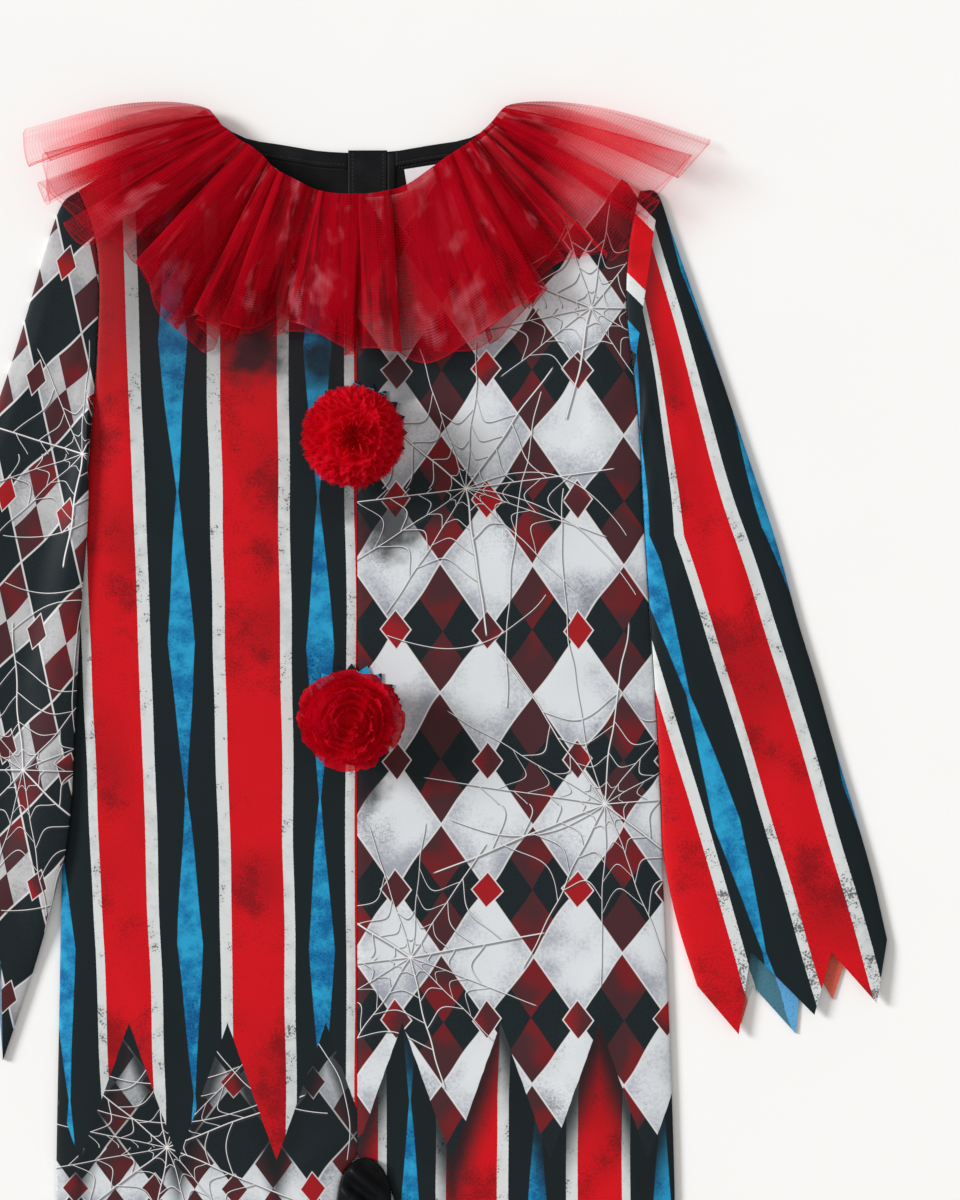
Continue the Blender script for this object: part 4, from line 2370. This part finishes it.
@dataclass
class CrotchFold:
    """Black cloth of the back that bunches up between the legs, in one puckered fold.

    Attributes:
        top: Its upper end.
        end: Its lower end.
        gap: How far it stays clear of the legs.
        middle: Where its middle lies.
        reach: Half its width at most.
    """

    top: float = -98
    end: float = -178
    gap: float = 0.8
    height: float = 12.5
    middle: float = 5
    reach: float = 17

    def half_width(self, side: Side, y: float, down: float) -> float:
        """Gives how far it reaches to one side.

        Args:
            side: Which side.
            y: Place along.
            down: Share of the way to its lower end.

        Returns:
            The distance from its middle.
        """
        dome = self.reach * math.sqrt(max(1 - max(1 - down * 2.9, 0) ** 2, 0))
        room = inner_x(side, y) - self.gap - side.value * self.middle
        narrow = 1 - 0.75 * down**4
        return dome + (min(room, self.reach) * narrow - dome) * ease((down - 0.3) / 0.3)

    def build(self) -> Object:
        """Returns:
            The object.
        """
        black = BlackKnit("black_cloth_fold", roughness=0.42, colour=(0.0035, 0.0038, 0.0045)).make()

        def place(column: float, row: float) -> Point:
            """Places a point of the fold.

            Args:
                column: Share of its width.
                row: Share of its length, from the lower end.

            Returns:
                The point.
            """
            down = 1 - row
            y = self.top + (self.end - self.top) * down
            low = ease((down - 0.3) / 0.3)
            left, right = self.half_width(Side.LEFT, y, down), self.half_width(Side.RIGHT, y, down)
            x = self.middle * (1 - 0.5 * low) + (left - right) / 2 + (column - 0.5) * (left + right)
            arch = math.sqrt(max(1 - (2 * column - 1) ** 2, 0))
            length = max(math.sin(math.pi * (0.2 + 0.75 * down)), 0) ** 0.6
            curl = 3.4 * math.sin(0.26 * (x - 5) + 0.16 * (y + 120) + 1.9 * math.sin(0.11 * y))
            pucker = 0.9 * ripple(x, y, 7.5, 4) + 0.3 * ripple(x, y, 3.2, 8)
            rim = 6.9 - 5.4 * low
            height = rim + (self.height - 8.2 + curl + pucker + 4 * low) * arch * length
            return x, y, max(height, 1.3)

        bm = laid_grid(shares(46), shares(60), place)
        walled(bm, 1.1)
        piece = finished("crotch_fold_cloth", bm, [black])
        cut = (0.045, 0.075)
        return declared(piece, "black_cloth", "crotch_fold", flat=cut, held="folded", rests_on=BACK_NODES)


# Studio ---------------------------------------------------


@dataclass
class Studio:
    """The pale floor, the soft light from the upper left and the camera straight above.

    Attributes:
        centre: What the camera looks at, in metres.
        tall: Height of the picture at the cloth, in metres.
        distance: Height of the camera over the cloth.
        level: Height of the cloth's face.
        key_place: Where the light comes from.
        key_spread: How broad the light looks, in degrees.
        sky: How strong the light all round is.
    """

    centre: Pair = (0.0787, 0.2586)
    tall: float = 0.768
    distance: float = 2.7
    level: float = 0.006
    key_place: Point = (-1.9, 0.85, 1.1)
    key_strength: float = 3.15
    key_spread: float = 18
    sky: float = 0.545

    def build(self) -> None:
        """Builds the floor, the lights and the camera."""
        bm = bmesh.new()
        bmesh.ops.create_grid(bm, x_segments=8, y_segments=8, size=4000)
        bmesh.ops.translate(bm, vec=(0, 0, -0.3), verts=bm.verts[:])
        floor = finished("floor", bm, [PaleFloor().make()])
        self._light("key_light")
        scene = bpy.context.scene
        world = bpy.data.worlds.new("studio_air")
        world.use_nodes = True
        air = world.node_tree.nodes["Background"]
        air.inputs["Color"].default_value = (1, 0.982, 0.945, 1)
        air.inputs["Strength"].default_value = self.sky
        scene.world = world
        scene.view_settings.view_transform = "Standard"
        lens = bpy.data.cameras.new("camera")
        lens.sensor_width = 36
        lens.lens = 36 * self.distance / self.tall
        lens.clip_end = 20
        camera = bpy.data.objects.new("camera", lens)
        camera.location = (*self.centre, self.level + self.distance)
        bpy.context.collection.objects.link(camera)
        scene.camera = camera

    def _light(self, name: str) -> None:
        """Adds the broad soft light, which faces the costume.

        Args:
            name: Its name.
        """
        data = bpy.data.lights.new(name, "SUN")
        data.angle = math.radians(self.key_spread)
        data.energy = self.key_strength
        lamp = bpy.data.objects.new(name, data)
        aim = Vector((*self.centre, 0)) - Vector(self.key_place)
        lamp.location = self.key_place
        lamp.rotation_euler = aim.to_track_quat("-Z", "Y").to_euler()
        bpy.context.collection.objects.link(lamp)


def sleeves() -> list[Object]:
    """Builds and dresses both sleeves.

    Returns:
        The sleeves.
    """
    design, striped, lozenged = Print.HARLEQUIN, Lean(217, 335, 0.295), Lean(-186, 311, -0.22)
    grid = Skew(-215, 363.8, (38.7, -14.7), (19.2, 73.6))
    cloth = SleevePrint("striped_cloth_sleeve", lean=striped, offset=(20.9, 78.9)).make()
    reverse = ReverseCloth("striped_cloth_reverse", lean=striped, offset=(20.9, 0)).make()
    sizes = (LEFT_SLEEVE, LEFT_FRONT_DAGS, LEFT_BACK_DAGS)
    left = Sleeve(Side.LEFT, *sizes, cloth, reverse, "striped_cloth", "back_left")
    cloth = SleevePrint("harlequin_cloth_sleeve", design=design, skew=grid, webs=SLEEVE_WEBS).make()
    reverse = ReverseCloth("harlequin_cloth_reverse", design=design, lean=lozenged).make()
    sizes = (RIGHT_SLEEVE, RIGHT_FRONT_DAGS, RIGHT_BACK_DAGS)
    under = "front_right"
    right = Sleeve(Side.RIGHT, *sizes, cloth, reverse, "harlequin_cloth", under, hem_lean=0.36)
    return [left.build("sleeve_left"), right.build("sleeve_right")]


def main() -> None:
    """Builds every part of the costume in order and reports its pieces."""
    logging.basicConfig(level=logging.INFO, format="%(message)s")
    Studio().build()
    body = Body()
    pieces = body.build() + sleeves() + Ruff().build() + Pompoms(body).build() + BackNeck().build()
    pieces.append(CrotchFold().build())
    for piece in pieces:
        LOG.info("%s: %d faces", piece.name, len(piece.data.polygons))


if __name__ == "__main__":
    main()
